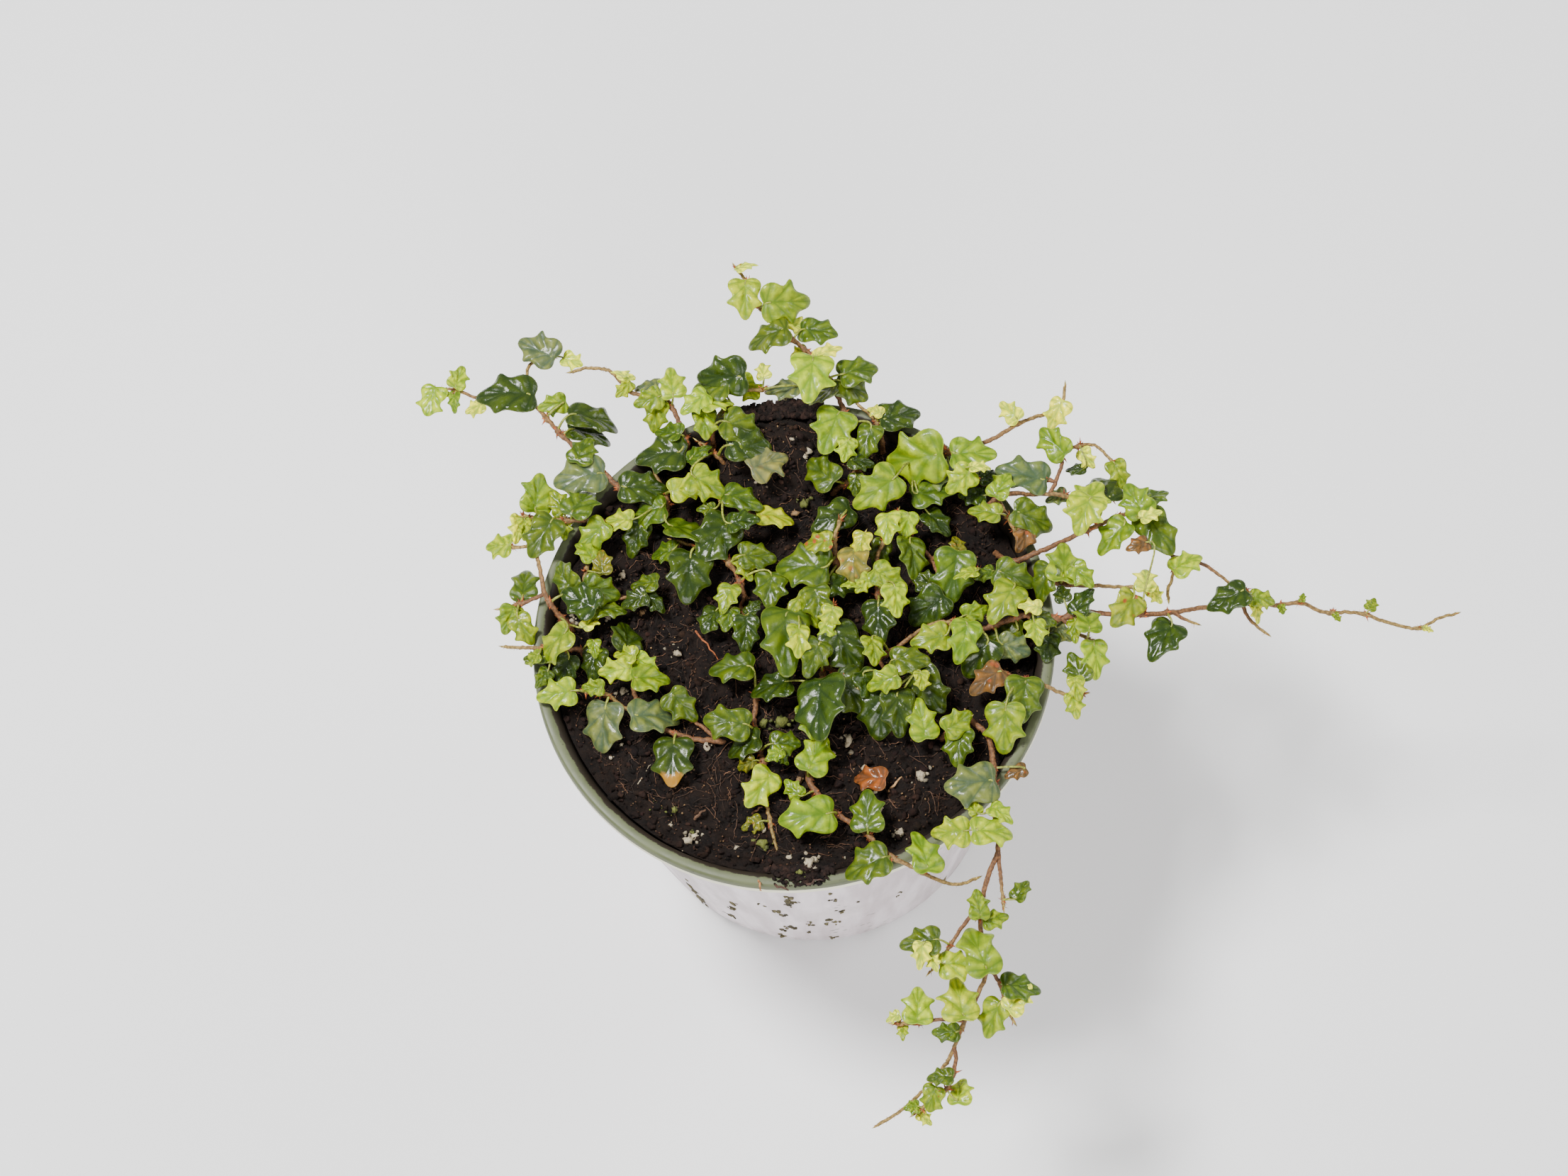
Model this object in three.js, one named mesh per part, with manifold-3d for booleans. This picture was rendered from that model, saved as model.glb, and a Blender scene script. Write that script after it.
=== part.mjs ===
// Potted creeping fig (oak-leaf form) in its round nursery pot. Millimetres, +Z up.
// The origin is the centre of the pot's base, so the pot stands on z = 0.
import * as THREE from "three";
import { mergeVertices } from "three/addons/utils/BufferGeometryUtils.js";
import Module from "manifold-3d";

const wasm = await Module();
wasm.setup();

// ---------- driving dimensions ----------
const POT_HEIGHT = 127;
const RIM_RADIUS = 76; // outside of the turned-down rim
const RIM_INNER_RADIUS = 72; // where the flat rim meets the inside wall
const RIM_DROP = 5; // height of the turned-down skirt
const BASE_RADIUS = 58;
const WALL = 1.5;
const FLOOR = 2.5;
const FOOT_ROUND = 2;
const DRAIN_HOLES = 8;
const DRAIN_RADIUS = 5;
const DRAIN_RING_RADIUS = 42;
const POT_SEGMENTS = 40;

const GAP = 0.35; // clearance between neighbouring solids
const SOIL_DEPTH = 6; // soil surface below the rim plane
const SOIL_SEGMENTS = 30;
// The peat is heaped against the rim at the back and at the front: centre, its depth below the rim, radii.
const MOUNDS = [
  { x: -5, y: 61, depth: 5, radii: [19, 15, 8] },
  { x: 3, y: -69, depth: 4, radii: [8, 6.5, 5.5] },
];

const STEM_RADIUS = 0.8;
const STEM_SIDES = 4;
const ROOT_LIMIT = 66.5; // no stem is rooted further out than this
const ROOT_HEIGHT = -10; // stems start this far from the rim plane, in the soil
const PETIOLE_RADIUS = 0.38;
const LEAF_TOP = 0.4; // lamina above its edge, at the middle
const LEAF_UNDER = 0.35; // lamina below its edge, at the middle
const LEAF_DROOP = THREE.MathUtils.degToRad(8);
const SMALL_LEAF = 6.5; // shorter leaves get the plain outline

// Half outline of a leaf of length 1: along the midrib, then out to the side.
const LOBED_HALF = [[-0.14, 0.32], [0.5, 0.48], [0.64, 0.26]];
const PLAIN_HALF = [[-0.1, 0.32], [0.5, 0.42]];
const LEAF_MIDDLE = 0.35;

// Every place below is a mark on the rim plane with a height over it. A mark at a height slides along
// the straight line to this far point, so that a leaf keeps its place in the layered mat as it is
// raised or lowered.
const FAR_POINT = new THREE.Vector3(41, -276, 701);

// A leaf that would touch a neighbouring shoot is tried at these heights, in this order.
const LIFTS = [0, 1.5, -1.5, 3, -3, 4.5, 6, -4.5, 7.5, 9];
const CLEARANCE = 0.4;

// ---------- shoots ----------
// Stems are routes of [x, y, height]. Leaves are [x, y, height, heading in degrees, length].
const SHOOTS = {
  runner_back_left: {
    stems: [
      [[-46, 43, -10], [-48, 45, -3], [-51.5, 48.5, 2.5], [-60, 57, 3], [-65, 62, 3], [-69, 66, 2],
       [-75, 73, 0],
       [-80, 80, -3], [-81, 86, -5], [-80, 91, -7], [-74, 93, -8]],
      [[-80, 80, -3], [-87, 79, -6], [-96, 80, -9], [-103, 83, -10], [-109, 83, -12]],
    ],
    leaves: [
      [-67, 74, 5, -8, 15], [-67, 69, 2, -10, 13], [-69, 78, 1, 195, 8.5],
      [-65, 58, 7, 65, 9.5], [-57, 54, 2, 190, 15], [-51, 49, 1, 0, 14],
      [-79, 81, -1, 180, 17.5], [-73, 93, -4, 150, 13], [-70, 93, -7, -25, 6.5],
      [-94, 78, -9, 190, 7.5], [-103, 84, -7, 70, 7.5], [-103, 82, -9, 262, 6.5],
      [-109, 84, -10, 252, 9.5], [-109, 82, -13, -5, 5.5],
    ],
  },
  runner_back_left_thin: {
    stems: [
      [[-31, 57, -10], [-31.5, 61.5, 1.5], [-33, 67, 2.5], [-35, 72, 3], [-37, 76, 3], [-40, 79, 3],
       [-48, 80, 2], [-52, 84, 1],
       [-56, 88, 0], [-62, 89, -2], [-67, 88, -3]],
    ],
    leaves: [
      [-34, 66, 6, 160, 9.5], [-33, 60, 3, 180, 15], [-40, 79, 8, 200, 8.5],
      [-41, 77, 5, 262, 9.5], [-36, 79, 8, 98, 11], [-41, 83, 3, 175, 8.5],
      [-50, 85, 1, 130, 7.5], [-49, 84, 4, 232, 6.5],
    ],
  },
  shoot_back_left: {
    stems: [
      [[-23, 58, -10], [-24, 64, 1.5], [-25, 70, 3], [-24, 76, 6], [-19, 80, 6], [-14, 80, 5], [-9, 80, 4]],
    ],
    leaves: [
      [-26, 79, 11, 215, 9.5], [-27, 76, 10, 15, 9.5], [-27, 74, 8, 278, 9.5],
      [-20, 70, 5, -20, 13], [-15, 85, 8, 175, 15], [-20, 82, 11, 170, 13],
      [-16, 84, 5, -45, 8.5], [2, 81, 3, 178, 11], [-8.5, 84, 7, 100, 6],
      [-18, 74, 3, 200, 5.5],
    ],
  },
  shoot_back_left_inner: {
    stems: [
      [[-19, 50, -10], [-20, 55, -2], [-23, 59, 1], [-28, 63, 2]],
    ],
    leaves: [
      [-19, 62, 3, 0, 13], [-31, 57, 4, 45, 8.5], [-30, 52, 6, -25, 12],
    ],
  },
  shoot_left_back: {
    stems: [
      [[-37, 37, -10], [-37.5, 42, -2], [-38.5, 47, 1], [-41, 53, 2], [-42, 57, 2]],
    ],
    leaves: [
      [-38.5, 42, 4, 190, 11], [-36, 47, 7, 20, 11], [-48, 38, 4, 170, 8.5],
      [-45, 37, 0, 250, 11], [-37, 36, 5, -5, 15], [-31, 48, 3, 20, 9.5],
    ],
  },
  runner_left_thin: {
    stems: [
      [[-51, 36, -10], [-54, 37, -3], [-59, 38, 1], [-66, 38.5, 3], [-73, 39, 3], [-80, 40, 1]],
    ],
    leaves: [
      [-56, 37, 4, 222, 11], [-66, 41, 7, 60, 12], [-68, 41, 4, 120, 8.5],
      [-68, 39, 1, 270, 6.5], [-71.5, 39, 7, 240, 13], [-77, 42, 5, 80, 12],
      [-81, 40, 1, 265, 8.5], [-80, 39.5, 4, 275, 6.5],
    ],
  },
  runner_left: {
    stems: [
      [[-63, 1, -10], [-65, 4, -3], [-70, 10, 2], [-73, 15, 4], [-74, 20, 5], [-75.5, 26, 4], [-77, 30, 3],
       [-83, 30, 0]],
      [[-73, 15, 4], [-78, 12.5, 3], [-83, 11, 1], [-86, 10.5, 0]],
    ],
    leaves: [
      [-84, 31, 1, 172, 8.5], [-79.5, 14, 1, 90, 12], [-66, 3, 3, 215, 12],
      [-61, 4, 2, 50, 6.5], [-65, 16, 3, 122, 11], [-82, 11, 3, 250, 8.5],
      [-81, 8, 1, 300, 9.5],
    ],
  },
  shoot_left: {
    stems: [
      [[-53, 10, -10], [-57, 13, -2], [-61, 17, 1], [-61, 21, 2], [-60, 25, 2]],
      [[-57, 13, -2], [-50, 13, -1], [-43, 14, -1]],
    ],
    leaves: [
      [-61, 17, 4, -10, 11], [-58, 10, 5, 150, 12], [-58, 10, 2, 0, 9.5],
      [-59, 26, 3, 130, 8.5], [-56, 21, 3, 95, 7.5], [-43, 14, 3, 200, 8.5],
      [-43, 14, 1, -40, 7.5], [-40, 18, 3, 180, 8.5],
    ],
  },
  runner_left_front: {
    stems: [
      [[-57, -12, -10], [-59, -7, -3], [-62, -3, -1], [-67, -3, 1], [-72, -2.5, 2], [-78, -2, 1],
       [-84, -1.5, -1]],
    ],
    leaves: [
      [-72, -5, 4, 185, 6.5], [-71, -9, 3, 240, 6.5], [-65, -5, 2, 250, 9.5],
      [-57.5, -3, 2, 262, 9.5], [-58, 0, 3, 275, 5.5], [-74, -4, 6, 200, 5.5],
    ],
  },
  shoot_left_front: {
    stems: [
      [[-41, -24, -10], [-44, -21, -5], [-46, -16, -2], [-46, -9, 1], [-47, -3, 1]],
    ],
    leaves: [
      [-48, -3, 2, 95, 13], [-46, -5, 5, 165, 7.5], [-47, -9, 4, 190, 9.5],
      [-45.5, -6, 3, -30, 7.5], [-46, -12, 3, 5, 11],
    ],
  },
  runner_front_left: {
    stems: [
      [[-17, -33, -10], [-21, -32, -5], [-29, -31, -4], [-36, -28.5, -3], [-43, -25, -3], [-50, -20, -1],
       [-54, -17, 1], [-60, -16, 2]],
      [[-21, -32, -5], [-26, -27.5, -4], [-31, -24, -3], [-34, -19, -2]],
    ],
    leaves: [
      [-63.5, -15.5, 4, 190, 11], [-55, -15, 3, 175, 6.5], [-54, -20, 0, 262, 14],
      [-46, -23.5, 1, 5, 14.5], [-34, -31, 0, 268, 14], [-35, -17, 1, -45, 11],
    ],
  },
  shoot_front_left: {
    stems: [
      [[-10, -15, -10], [-10.5, -20, -4], [-11, -27, -3], [-9, -36, -3], [-8, -42, -3], [-7.5, -50, -4],
       [-6, -58, -5], [-4, -66, -6]],
    ],
    leaves: [
      [-13, -27, 3, 172, 13], [-10, -31, 0, 200, 11], [-11, -38, -1, 200, 6],
      [-6, -42, 1, 235, 12], [-6, -33, 1, 0, 8.5], [-3, -35, 4, 215, 5.5],
      [-4, -36, 3, -45, 4.5], [-9, -56, -3, 200, 6], [-12, -9, 3, 178, 13],
    ],
  },
  runner_front: {
    stems: [
      [[5, -37, -10], [4.5, -42, -3], [6, -47, -2], [12, -54, -2], [17, -57.5, -1], [21, -60.5, 1],
       [25, -65, 3], [29, -68, 4], [34, -70.5, 3], [40, -74, 0], [46, -75.5, -3], [51, -74, -5]],
    ],
    leaves: [
      [4.5, -41, 3, 65, 12], [2, -49, 1, 130, 6.5], [11, -54, 3, 190, 15],
      [21, -59, 4, 90, 12], [26, -67, 7, 200, 13], [38, -71, 6, 105, 13],
    ],
  },
  shoot_front: {
    stems: [
      [[9, -6, -10], [9, -10, 0], [8, -16, 4], [8, -22, 5]],
      [[9, -10, 0], [14, -12, 3], [18, -16, 4]],
    ],
    leaves: [
      [8, -14, 9, 268, 18.5], [13, -13, 6, -45, 14], [-1, -14, 4, 190, 12],
      [12, 2, 8, -60, 15], [8, -2, 11, 250, 11], [4, -22, 5, 285, 9.5],
    ],
  },
  shoot_centre: {
    stems: [
      [[0, -4, -10], [0, 1, -1], [3, 8, 3], [8, 12, 6], [12, 9, 8]],
    ],
    leaves: [
      [-2, 8, 9, 272, 20.5], [2, 3, 13, 270, 9.5], [1.5, 11.5, 9, -45, 11],
      [6.5, 15, 8, 280, 11], [12, 8.5, 11, 250, 7.5], [10, 4, 9, 268, 6.5],
    ],
  },
  shoot_centre_left: {
    stems: [
      [[-11, 9, -10], [-14, 13, -3], [-16, 19, 0], [-19, 24, 2], [-21, 28, 4], [-19, 34, 3]],
      [[-21, 28, 4], [-28, 29, 2], [-35, 31, 1]],
      [[-14, 13, -3], [-15, 9, -2], [-14, 6, -2]],
    ],
    leaves: [
      [-15, 26, 5, 0, 11], [-15, 26, 3, 290, 8.5], [-19, 37, 4, 235, 15],
      [-18, 16, 4, 250, 8.5], [-22, 9, 1, 240, 8.5], [-18, 9, 2, 255, 7.5],
      [-13.5, 6, 2, 268, 11], [-13, 7, 2, 50, 5.5], [-6, 20, 3, 265, 11],
      [-30, 27, 5, 265, 15], [-35, 28, 3, 180, 8.5],
    ],
  },
  shoot_back_centre_left: {
    stems: [
      [[-14, 37, -10], [-16, 41, -3], [-19, 45, 0], [-21, 44, 3]],
      [[-16, 41, -3], [-12, 39, -1], [-9, 38, 0]],
    ],
    leaves: [
      [-20, 46, 5, -20, 12], [-10, 39, 2, -5, 11], [-23, 41, 5, 180, 5.5],
      [-19, 36, 8, 10, 9.5],
    ],
  },
  shoot_centre_back: {
    stems: [
      [[13, 17, -10], [13, 22, 0], [12.5, 30, 5], [14, 36, 5]],
      [[13, 22, 0], [18, 26, 5], [21, 31, 7]],
    ],
    leaves: [
      [11, 30, 10, 180, 9.5], [10, 21, 6, 172, 15], [17, 40, 4, 210, 13],
      [18, 27, 8, 270, 11], [21, 32, 10, 255, 7.5], [10, 16, 3, 0, 9.5],
      [20, 16, 6, 180, 6],
    ],
  },
  shoot_back_centre: {
    stems: [
      [[10, 42, -10], [13.5, 46.5, -2], [17, 49, 1], [20, 54, 3], [21, 60, 4]],
    ],
    leaves: [
      [12, 49, 5, 130, 13], [17, 56, 4, 0, 8.5], [19, 51, 5, 265, 6.5],
      [17, 63, 9, 260, 7.5],
    ],
  },
  runner_back: {
    stems: [
      [[17, 61, -10], [16.5, 67, 1.5], [15, 74, 4], [13, 79, 6], [11, 83, 8], [9, 87, 10], [5, 92, 12],
       [1, 96, 14], [-3, 99.5, 15], [-9, 107, 16], [-12, 113, 17], [-15, 119, 18], [-17, 122, 19]],
    ],
    leaves: [
      [14, 72, 7, 250, 14], [24, 67, 7, 250, 11], [15, 84.5, 11, 18, 11.5],
      [14, 83, 8, -30, 11], [13, 80, 3, 200, 9.5], [6.5, 91, 16, 265, 15],
      [7, 91, 12, 22, 8.5], [4, 93, 11, 190, 5.5], [3, 100.5, 14, -12, 11],
      [-4, 104, 13, -20, 9.5], [-8, 110, 19, 10, 15], [-2, 101, 18, 195, 13],
      [-14.5, 118, 21, 272, 12], [-17, 122, 20, 25, 6.5],
    ],
  },
  shoot_back_right: {
    stems: [
      [[27, 56, -10], [27, 61, 1.5], [26, 67, 3], [24, 70, 3], [20, 74, 4]],
    ],
    leaves: [
      [27, 69, 6, 20, 13], [27, 71, 5, 150, 5.5],
    ],
  },
  runner_back_right: {
    stems: [
      [[35, 46, -10], [34, 51, -2], [38, 55, 3], [45, 57, 5], [52, 59, 6], [59, 61, 7], [64, 64, 7],
       [69, 67, 6], [76, 69.5, 4], [81, 73, 3], [82, 78, 3]],
    ],
    leaves: [
      [44, 57, 10, 178, 18.5], [31, 50, 11, 215, 15], [47, 53, 3, 215, 13],
      [36, 44, 3, 10, 13], [40, 38, 1, -45, 9.5], [67.5, 68, 8, 130, 8.5],
      [81, 73.5, 5, 240, 9.5], [48, 57, 11, 0, 13],
    ],
  },
  shoot_right_back: {
    stems: [
      [[50, 42, -10], [52, 46, 1.5], [54, 49, 2.5], [58, 46, 3], [60.5, 42, 4], [63, 37, 4],
       [65.5, 31, 3], [66, 28, 2]],
    ],
    leaves: [
      [53, 51, 12, 215, 9.5], [53, 52.5, 14, 0, 6], [56, 49, 4, 0, 6.5],
      [60, 43, 8, 60, 8.5], [61, 37, 9, 165, 9.5], [57, 43, 3, 165, 8.5],
      [66, 38, 8, -20, 13], [70, 34, 5, 250, 9.5],
    ],
  },
  runner_right_back: {
    stems: [
      [[58, 26, -10], [62, 22.5, 1], [66, 22, 2.5], [71, 24, 4], [76, 26, 5], [82, 29, 5], [90, 32.5, 5],
       [99, 36, 4], [103, 32, 2], [107, 26, 0], [111, 22, -2], [110.5, 15.5, -5], [109, 12, -8],
       [109, 9, -10]],
      [[111, 22, -2], [119.5, 19.5, -4], [126, 14, -6], [131, 11, -7]],
    ],
    leaves: [
      [98, 33, 8, 222, 12], [103, 36, 9, 115, 11], [103, 40, 5, 30, 9.5],
      [104, 36, 6, 300, 14], [102.5, 34.5, 11, 20, 6.5], [85, 37, 10, 60, 13],
      [88, 42, 12, 250, 12], [111, 18, -1, 30, 9.5], [131, 11, -5, 200, 12],
      [133, 9, -7, -10, 7.5], [134, 7, -9, 280, 6.5],
    ],
  },
  shoot_right_top: {
    stems: [
      [[53, 37, -10], [56.5, 38.5, 3], [61, 42.5, 7.5], [66, 43.5, 6.5], [70, 43, 4.5], [76, 43, 4],
       [83, 42, 4], [89, 43, 4], [94, 41, 4]],
      [[76, 43, 4], [78, 47, 5], [80, 52, 6], [80.5, 56, 6], [84, 58, 5], [90, 58.5, 5], [95, 53, 4]],
      [[78, 47, 5], [74, 48, 4], [71, 48.5, 4]],
    ],
    leaves: [
      [75, 47.5, 6, 165, 15], [94, 41, 6, 110, 12], [87, 51, 4, 170, 6.5],
      [81, 56, 8, 130, 11], [81, 43, 1, 200, 6.5], [95.5, 53, 5, 290, 8.5],
      [86, 57, 6, 300, 6.5],
    ],
  },
  runner_right_thin: {
    stems: [
      [[63, 13, -10], [67, 13.5, 1.5], [70, 14, 2.5], [75, 14.5, 4], [80, 14, 4], [86, 13.5, 3],
       [92, 13, 2], [100, 12.5, 1],
       [103, 12, 1]],
    ],
    leaves: [
      [79, 16, 8, 85, 13], [82, 20, 11, -50, 8.5], [99.5, 10, 0, 235, 11],
      [102.5, 12, 3, 85, 9], [104, 12, 0, -50, 5.5], [75, 20, 4, 250, 11],
    ],
  },
  runner_right: {
    stems: [
      [[50, -1, -10], [55, 0.5, 1], [62, 3, 3], [67, 4.5, 4], [73, 4, 4], [78, 3.5, 4], [84, 5, 4],
       [92, 4.5, 2], [100, 4, 0], [110, 4.5, -4], [120, 6, -8], [130, 6.5, -11], [140, 6, -14],
       [147, 6.5, -16], [153, 3.5, -19], [163, 3, -22], [168, 1, -23], [175, -1.5, -25],
       [180, -2, -26], [186, 1, -27], [190, 2, -28]],
      [[110, 4.5, -4], [113, 2.5, -5], [116, 1, -6]],
      [[130, 6.5, -11], [132, 1.5, -13], [136, -2.5, -15]],
      [[78, 3.5, 4], [82, -1, 3], [87, -4, 3]],
    ],
    leaves: [
      [104, 27, 12, 200, 6.5],
      [82, 5, 8, 60, 9.5], [86, 0, 10, 95, 11], [82, 3, 5, 265, 7.5],
      [70, 5, 5, -20, 7.5], [76, 1, 2, -40, 6.5], [70, 3, 11, 280, 7.5],
      [72, 7, 11, 170, 6.5], [110, 1, -2, 235, 13], [87, -4, 5, 275, 11],
      [66, 0, 3, 185, 11], [60, -4, 4, -15, 9.5], [74, -1, 0, 265, 8.5],
      [79, 9, 6, 100, 6.5], [147, 7, -15, 75, 3], [156, 3, -19, -60, 3],
      [166, 4, -21, 60, 4.5], [141, 6, -14, 290, 3], [181, -2, -26, -20, 3],
    ],
  },
  shoot_right: {
    stems: [
      [[40, 19, -10], [41, 23, -1], [46, 24, 2], [52, 20, 4], [58, 18, 4], [64, 15, 4]],
      [[41, 23, -1], [38, 27, 1], [35, 30, 2]],
      [[41, 23, -1], [43, 17, 0], [44, 12, 1]],
    ],
    leaves: [
      [48.5, 25, 5, 260, 15], [54, 19, 11, 190, 7], [49, 25, 2, 100, 6.5],
      [60, 19, 5, -20, 12], [65, 14, 9, 235, 13], [59, 19, 7, 200, 6.5],
      [44, 11, 4, 215, 13], [34.5, 29.5, 6, 280, 12], [42, 14, 3, 150, 8.5],
    ],
  },
  shoot_centre_right: {
    stems: [
      [[24, 3, -10], [25, 10, 1], [25, 17, 4], [25, 24, 4], [28, 31, 4], [31, 38, 4]],
    ],
    leaves: [
      [25, 10, 6, 270, 13], [24, 20, 10, -30, 11], [30, 15, 12, 275, 9.5],
      [28, 38, 9, 270, 9.5], [34.5, 38, 8, 260, 8.5], [23, 18, 8, 225, 6.5],
      [27, 29, 4, 250, 8.5],
    ],
  },
  shoot_front_right: {
    stems: [
      [[21, -11, -10], [25, -8, -1], [31, -4, 2], [36, 0, 3], [42, 3, 4], [47, 3, 5]],
      [[25, -8, -1], [28, -14, 2], [32, -20, 2], [36, -26, 1], [40, -30, 0]],
    ],
    leaves: [
      [30, -13, 9, 200, 9.5], [29, -8, 8, 0, 11], [23, -1, 10, 280, 8.5],
      [36, -12, 5, 300, 14], [30, -18, 5, 275, 13], [26, -18, 4, 262, 14],
      [38, -32, 3, 100, 12], [45, -1, 6, 190, 11], [51, 3, 10, 255, 12],
      [50, 5, 8, 20, 8.5], [57, -3, 6, 230, 13], [37, -12, 9, 275, 5.5],
      [20, -12, 6, 300, 11],
    ],
  },
  runner_front_right: {
    stems: [
      [[45, -25, -10], [49, -26, -3], [53, -29, -1], [56, -33, 0], [57, -41, 2], [57, -50, 4],
       [57.5, -58, 3],
       [57.5, -66, 0], [55, -72, -2], [53, -79, -5], [52, -88, -9], [53.5, -99, -14], [50.5, -107, -18],
       [47, -114, -23], [44, -121, -29], [42, -125, -33], [38, -130, -38], [33, -135, -43],
       [28, -139, -46], [23, -142, -49]],
      [[57.5, -66, 0], [58, -74, -3], [58.5, -82, -5]],
      [[53, -82, -6], [50, -84, -7], [46, -89, -9], [42, -95, -11], [38, -100, -13]],
      [[53.5, -99, -14], [57, -104, -16], [58, -110, -18], [60, -114, -20]],
      [[47, -114, -23], [41, -113.5, -24], [34, -114.5, -25], [28, -114.5, -26]],
      [[44, -121, -29], [44, -126, -32], [42, -132, -36], [37, -136, -39], [33, -139, -41]],
    ],
    leaves: [
      [57, -45, 6, 190, 14], [66, -42, 2, 200, 6.5], [52, -55, 5, 120, 6], [56, -53, 6, -35, 7.5],
      [49, -60, 5, 178, 11], [51, -60, 3, 0, 11.5], [52, -85, -4, 95, 8.5],
      [53, -86, -6, 15, 7.5], [53.5, -100, -11, 110, 15], [62, -80, -3, 60, 6.5],
      [40, -91, -7, 185, 11], [36, -92, -5, 262, 7.5], [38, -95, -8, 285, 5.5],
      [41, -98, -9, 0, 11], [46.5, -113, -19, 98, 13], [34, -114, -22, 88, 11],
      [29, -112, -24, 200, 4.5], [30, -115, -26, 268, 4.5], [45, -117, -24, 180, 7.5],
      [58, -104, -13, -5, 11], [59, -111, -16, 50, 9.5], [56.5, -109, -19, 245, 11],
      [43, -129, -33, 180, 7.5], [38.5, -132, -36, 252, 7.5], [34, -137, -40, 190, 4.5],
      [34, -139, -41, -40, 5], [44.5, -136, -36, 80, 8.5],
    ],
  },
  shoot_front_right_edge: {
    stems: [
      [[52, -15, -10], [56, -13, -2], [60, -13, 1], [65, -15, 3], [72, -17, 4], [78, -20, 3], [83, -20, 2]],
    ],
    leaves: [
      [67, -15, 7, 262, 13], [61, -23, 5, 265, 14], [83, -16, 4, 110, 9.5],
      [81, -15, 8, 280, 6.5], [80, -20, 3, 282, 7.5], [60, -12, 3, 215, 11],
    ],
  },
  shoot_front_right_low: {
    stems: [
      [[42, -37, -10], [43, -32, -3], [46, -30, 0], [50, -27, 2]],
    ],
    leaves: [
      [44, -30, 5, 35, 9.5], [48, -30, 3, 262, 11],
    ],
  },
};

// Dead leaves that lie loose on the soil: [x, y, height, heading, length].
const LOOSE_LEAVES = {
  dead_leaf_back: [-12, 54, 5.5, 30, 13],
  dead_leaf_front: [26, -44, -3.5, 170, 10],
};

// ---------- materials ----------
function look(name, color, roughness) {
  return new THREE.MeshStandardMaterial({ name, color, roughness, metalness: 0 });
}

// ---------- solids ----------
function solidOf(geometry) {
  const bare = geometry.index ? geometry.toNonIndexed() : geometry.clone();
  bare.deleteAttribute("normal");
  bare.deleteAttribute("uv");
  const merged = mergeVertices(bare, 1e-4);
  return new wasm.Manifold(
    new wasm.Mesh({
      numProp: 3,
      vertProperties: new Float32Array(merged.attributes.position.array),
      triVerts: new Uint32Array(merged.index.array),
    }),
  );
}

function solidFrom(points, triangles) {
  return new wasm.Manifold(
    new wasm.Mesh({
      numProp: 3,
      vertProperties: new Float32Array(points.flatMap((p) => [p.x, p.y, p.z])),
      triVerts: new Uint32Array(triangles.flat()),
    }),
  );
}

function meshOf(name, solid, material) {
  const made = solid.getMesh();
  const geometry = new THREE.BufferGeometry();
  const positions = new Float32Array(made.numVert * 3);
  for (let i = 0; i < made.numVert; i++) {
    positions.set(made.vertProperties.subarray(i * made.numProp, i * made.numProp + 3), i * 3);
  }
  geometry.setAttribute("position", new THREE.BufferAttribute(positions, 3));
  geometry.setIndex(new THREE.BufferAttribute(new Uint32Array(made.triVerts), 1));
  geometry.computeVertexNormals();
  const mesh = new THREE.Mesh(geometry, material);
  mesh.name = name;
  return mesh;
}

const UP = new THREE.Vector3(0, 0, 1);

// A body turned about the pot's axis from a profile of [radius, z] points.
function turned(profile, segments) {
  const geometry = new THREE.LatheGeometry(profile.map(([r, z]) => new THREE.Vector2(r, z)), segments);
  return solidOf(geometry.rotateX(Math.PI / 2));
}

// The point over a mark on the rim plane, at a height above it.
function place(x, y, height) {
  const mark = new THREE.Vector3(x, y, 0);
  const point = mark.lerp(FAR_POINT, height / FAR_POINT.z);
  point.z += POT_HEIGHT;
  return point;
}

// ---------- pot ----------
const innerWallTop = RIM_INNER_RADIUS - 0.8;
const innerWallBase = BASE_RADIUS - WALL - 0.3;

function innerWallRadius(z) {
  return THREE.MathUtils.mapLinear(z, FLOOR, POT_HEIGHT, innerWallBase, innerWallTop);
}

function potSolid() {
  const top = POT_HEIGHT;
  const neck = innerWallTop + WALL;
  const skirt = RIM_RADIUS - 1.3;
  const shell = turned(
    [
      [0, 0],
      [BASE_RADIUS - FOOT_ROUND, 0],
      [BASE_RADIUS, FOOT_ROUND],
      [neck, top - RIM_DROP],
      [neck, top - WALL],
      [skirt, top - WALL],
      [skirt, top - RIM_DROP],
      [RIM_RADIUS, top - RIM_DROP],
      [RIM_RADIUS, top - 1],
      [RIM_RADIUS - 1, top],
      [RIM_INNER_RADIUS, top],
      [innerWallTop, top - 1],
      [innerWallBase, FLOOR],
      [0, FLOOR],
    ],
    POT_SEGMENTS,
  );
  let pot = shell;
  for (let i = 0; i < DRAIN_HOLES; i++) {
    const angle = (i / DRAIN_HOLES) * 2 * Math.PI;
    const hole = new THREE.CylinderGeometry(DRAIN_RADIUS, DRAIN_RADIUS, 4 * FLOOR, 10).rotateX(Math.PI / 2);
    hole.translate(DRAIN_RING_RADIUS * Math.cos(angle), DRAIN_RING_RADIUS * Math.sin(angle), 0);
    pot = pot.subtract(solidOf(hole));
  }
  return pot;
}

// ---------- soil ----------
function moundSolid(x, y, z, radii) {
  const mound = new THREE.SphereGeometry(1, 12, 7).rotateX(Math.PI / 2);
  mound.scale(...radii).translate(x, y, z);
  return solidOf(mound);
}

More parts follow.
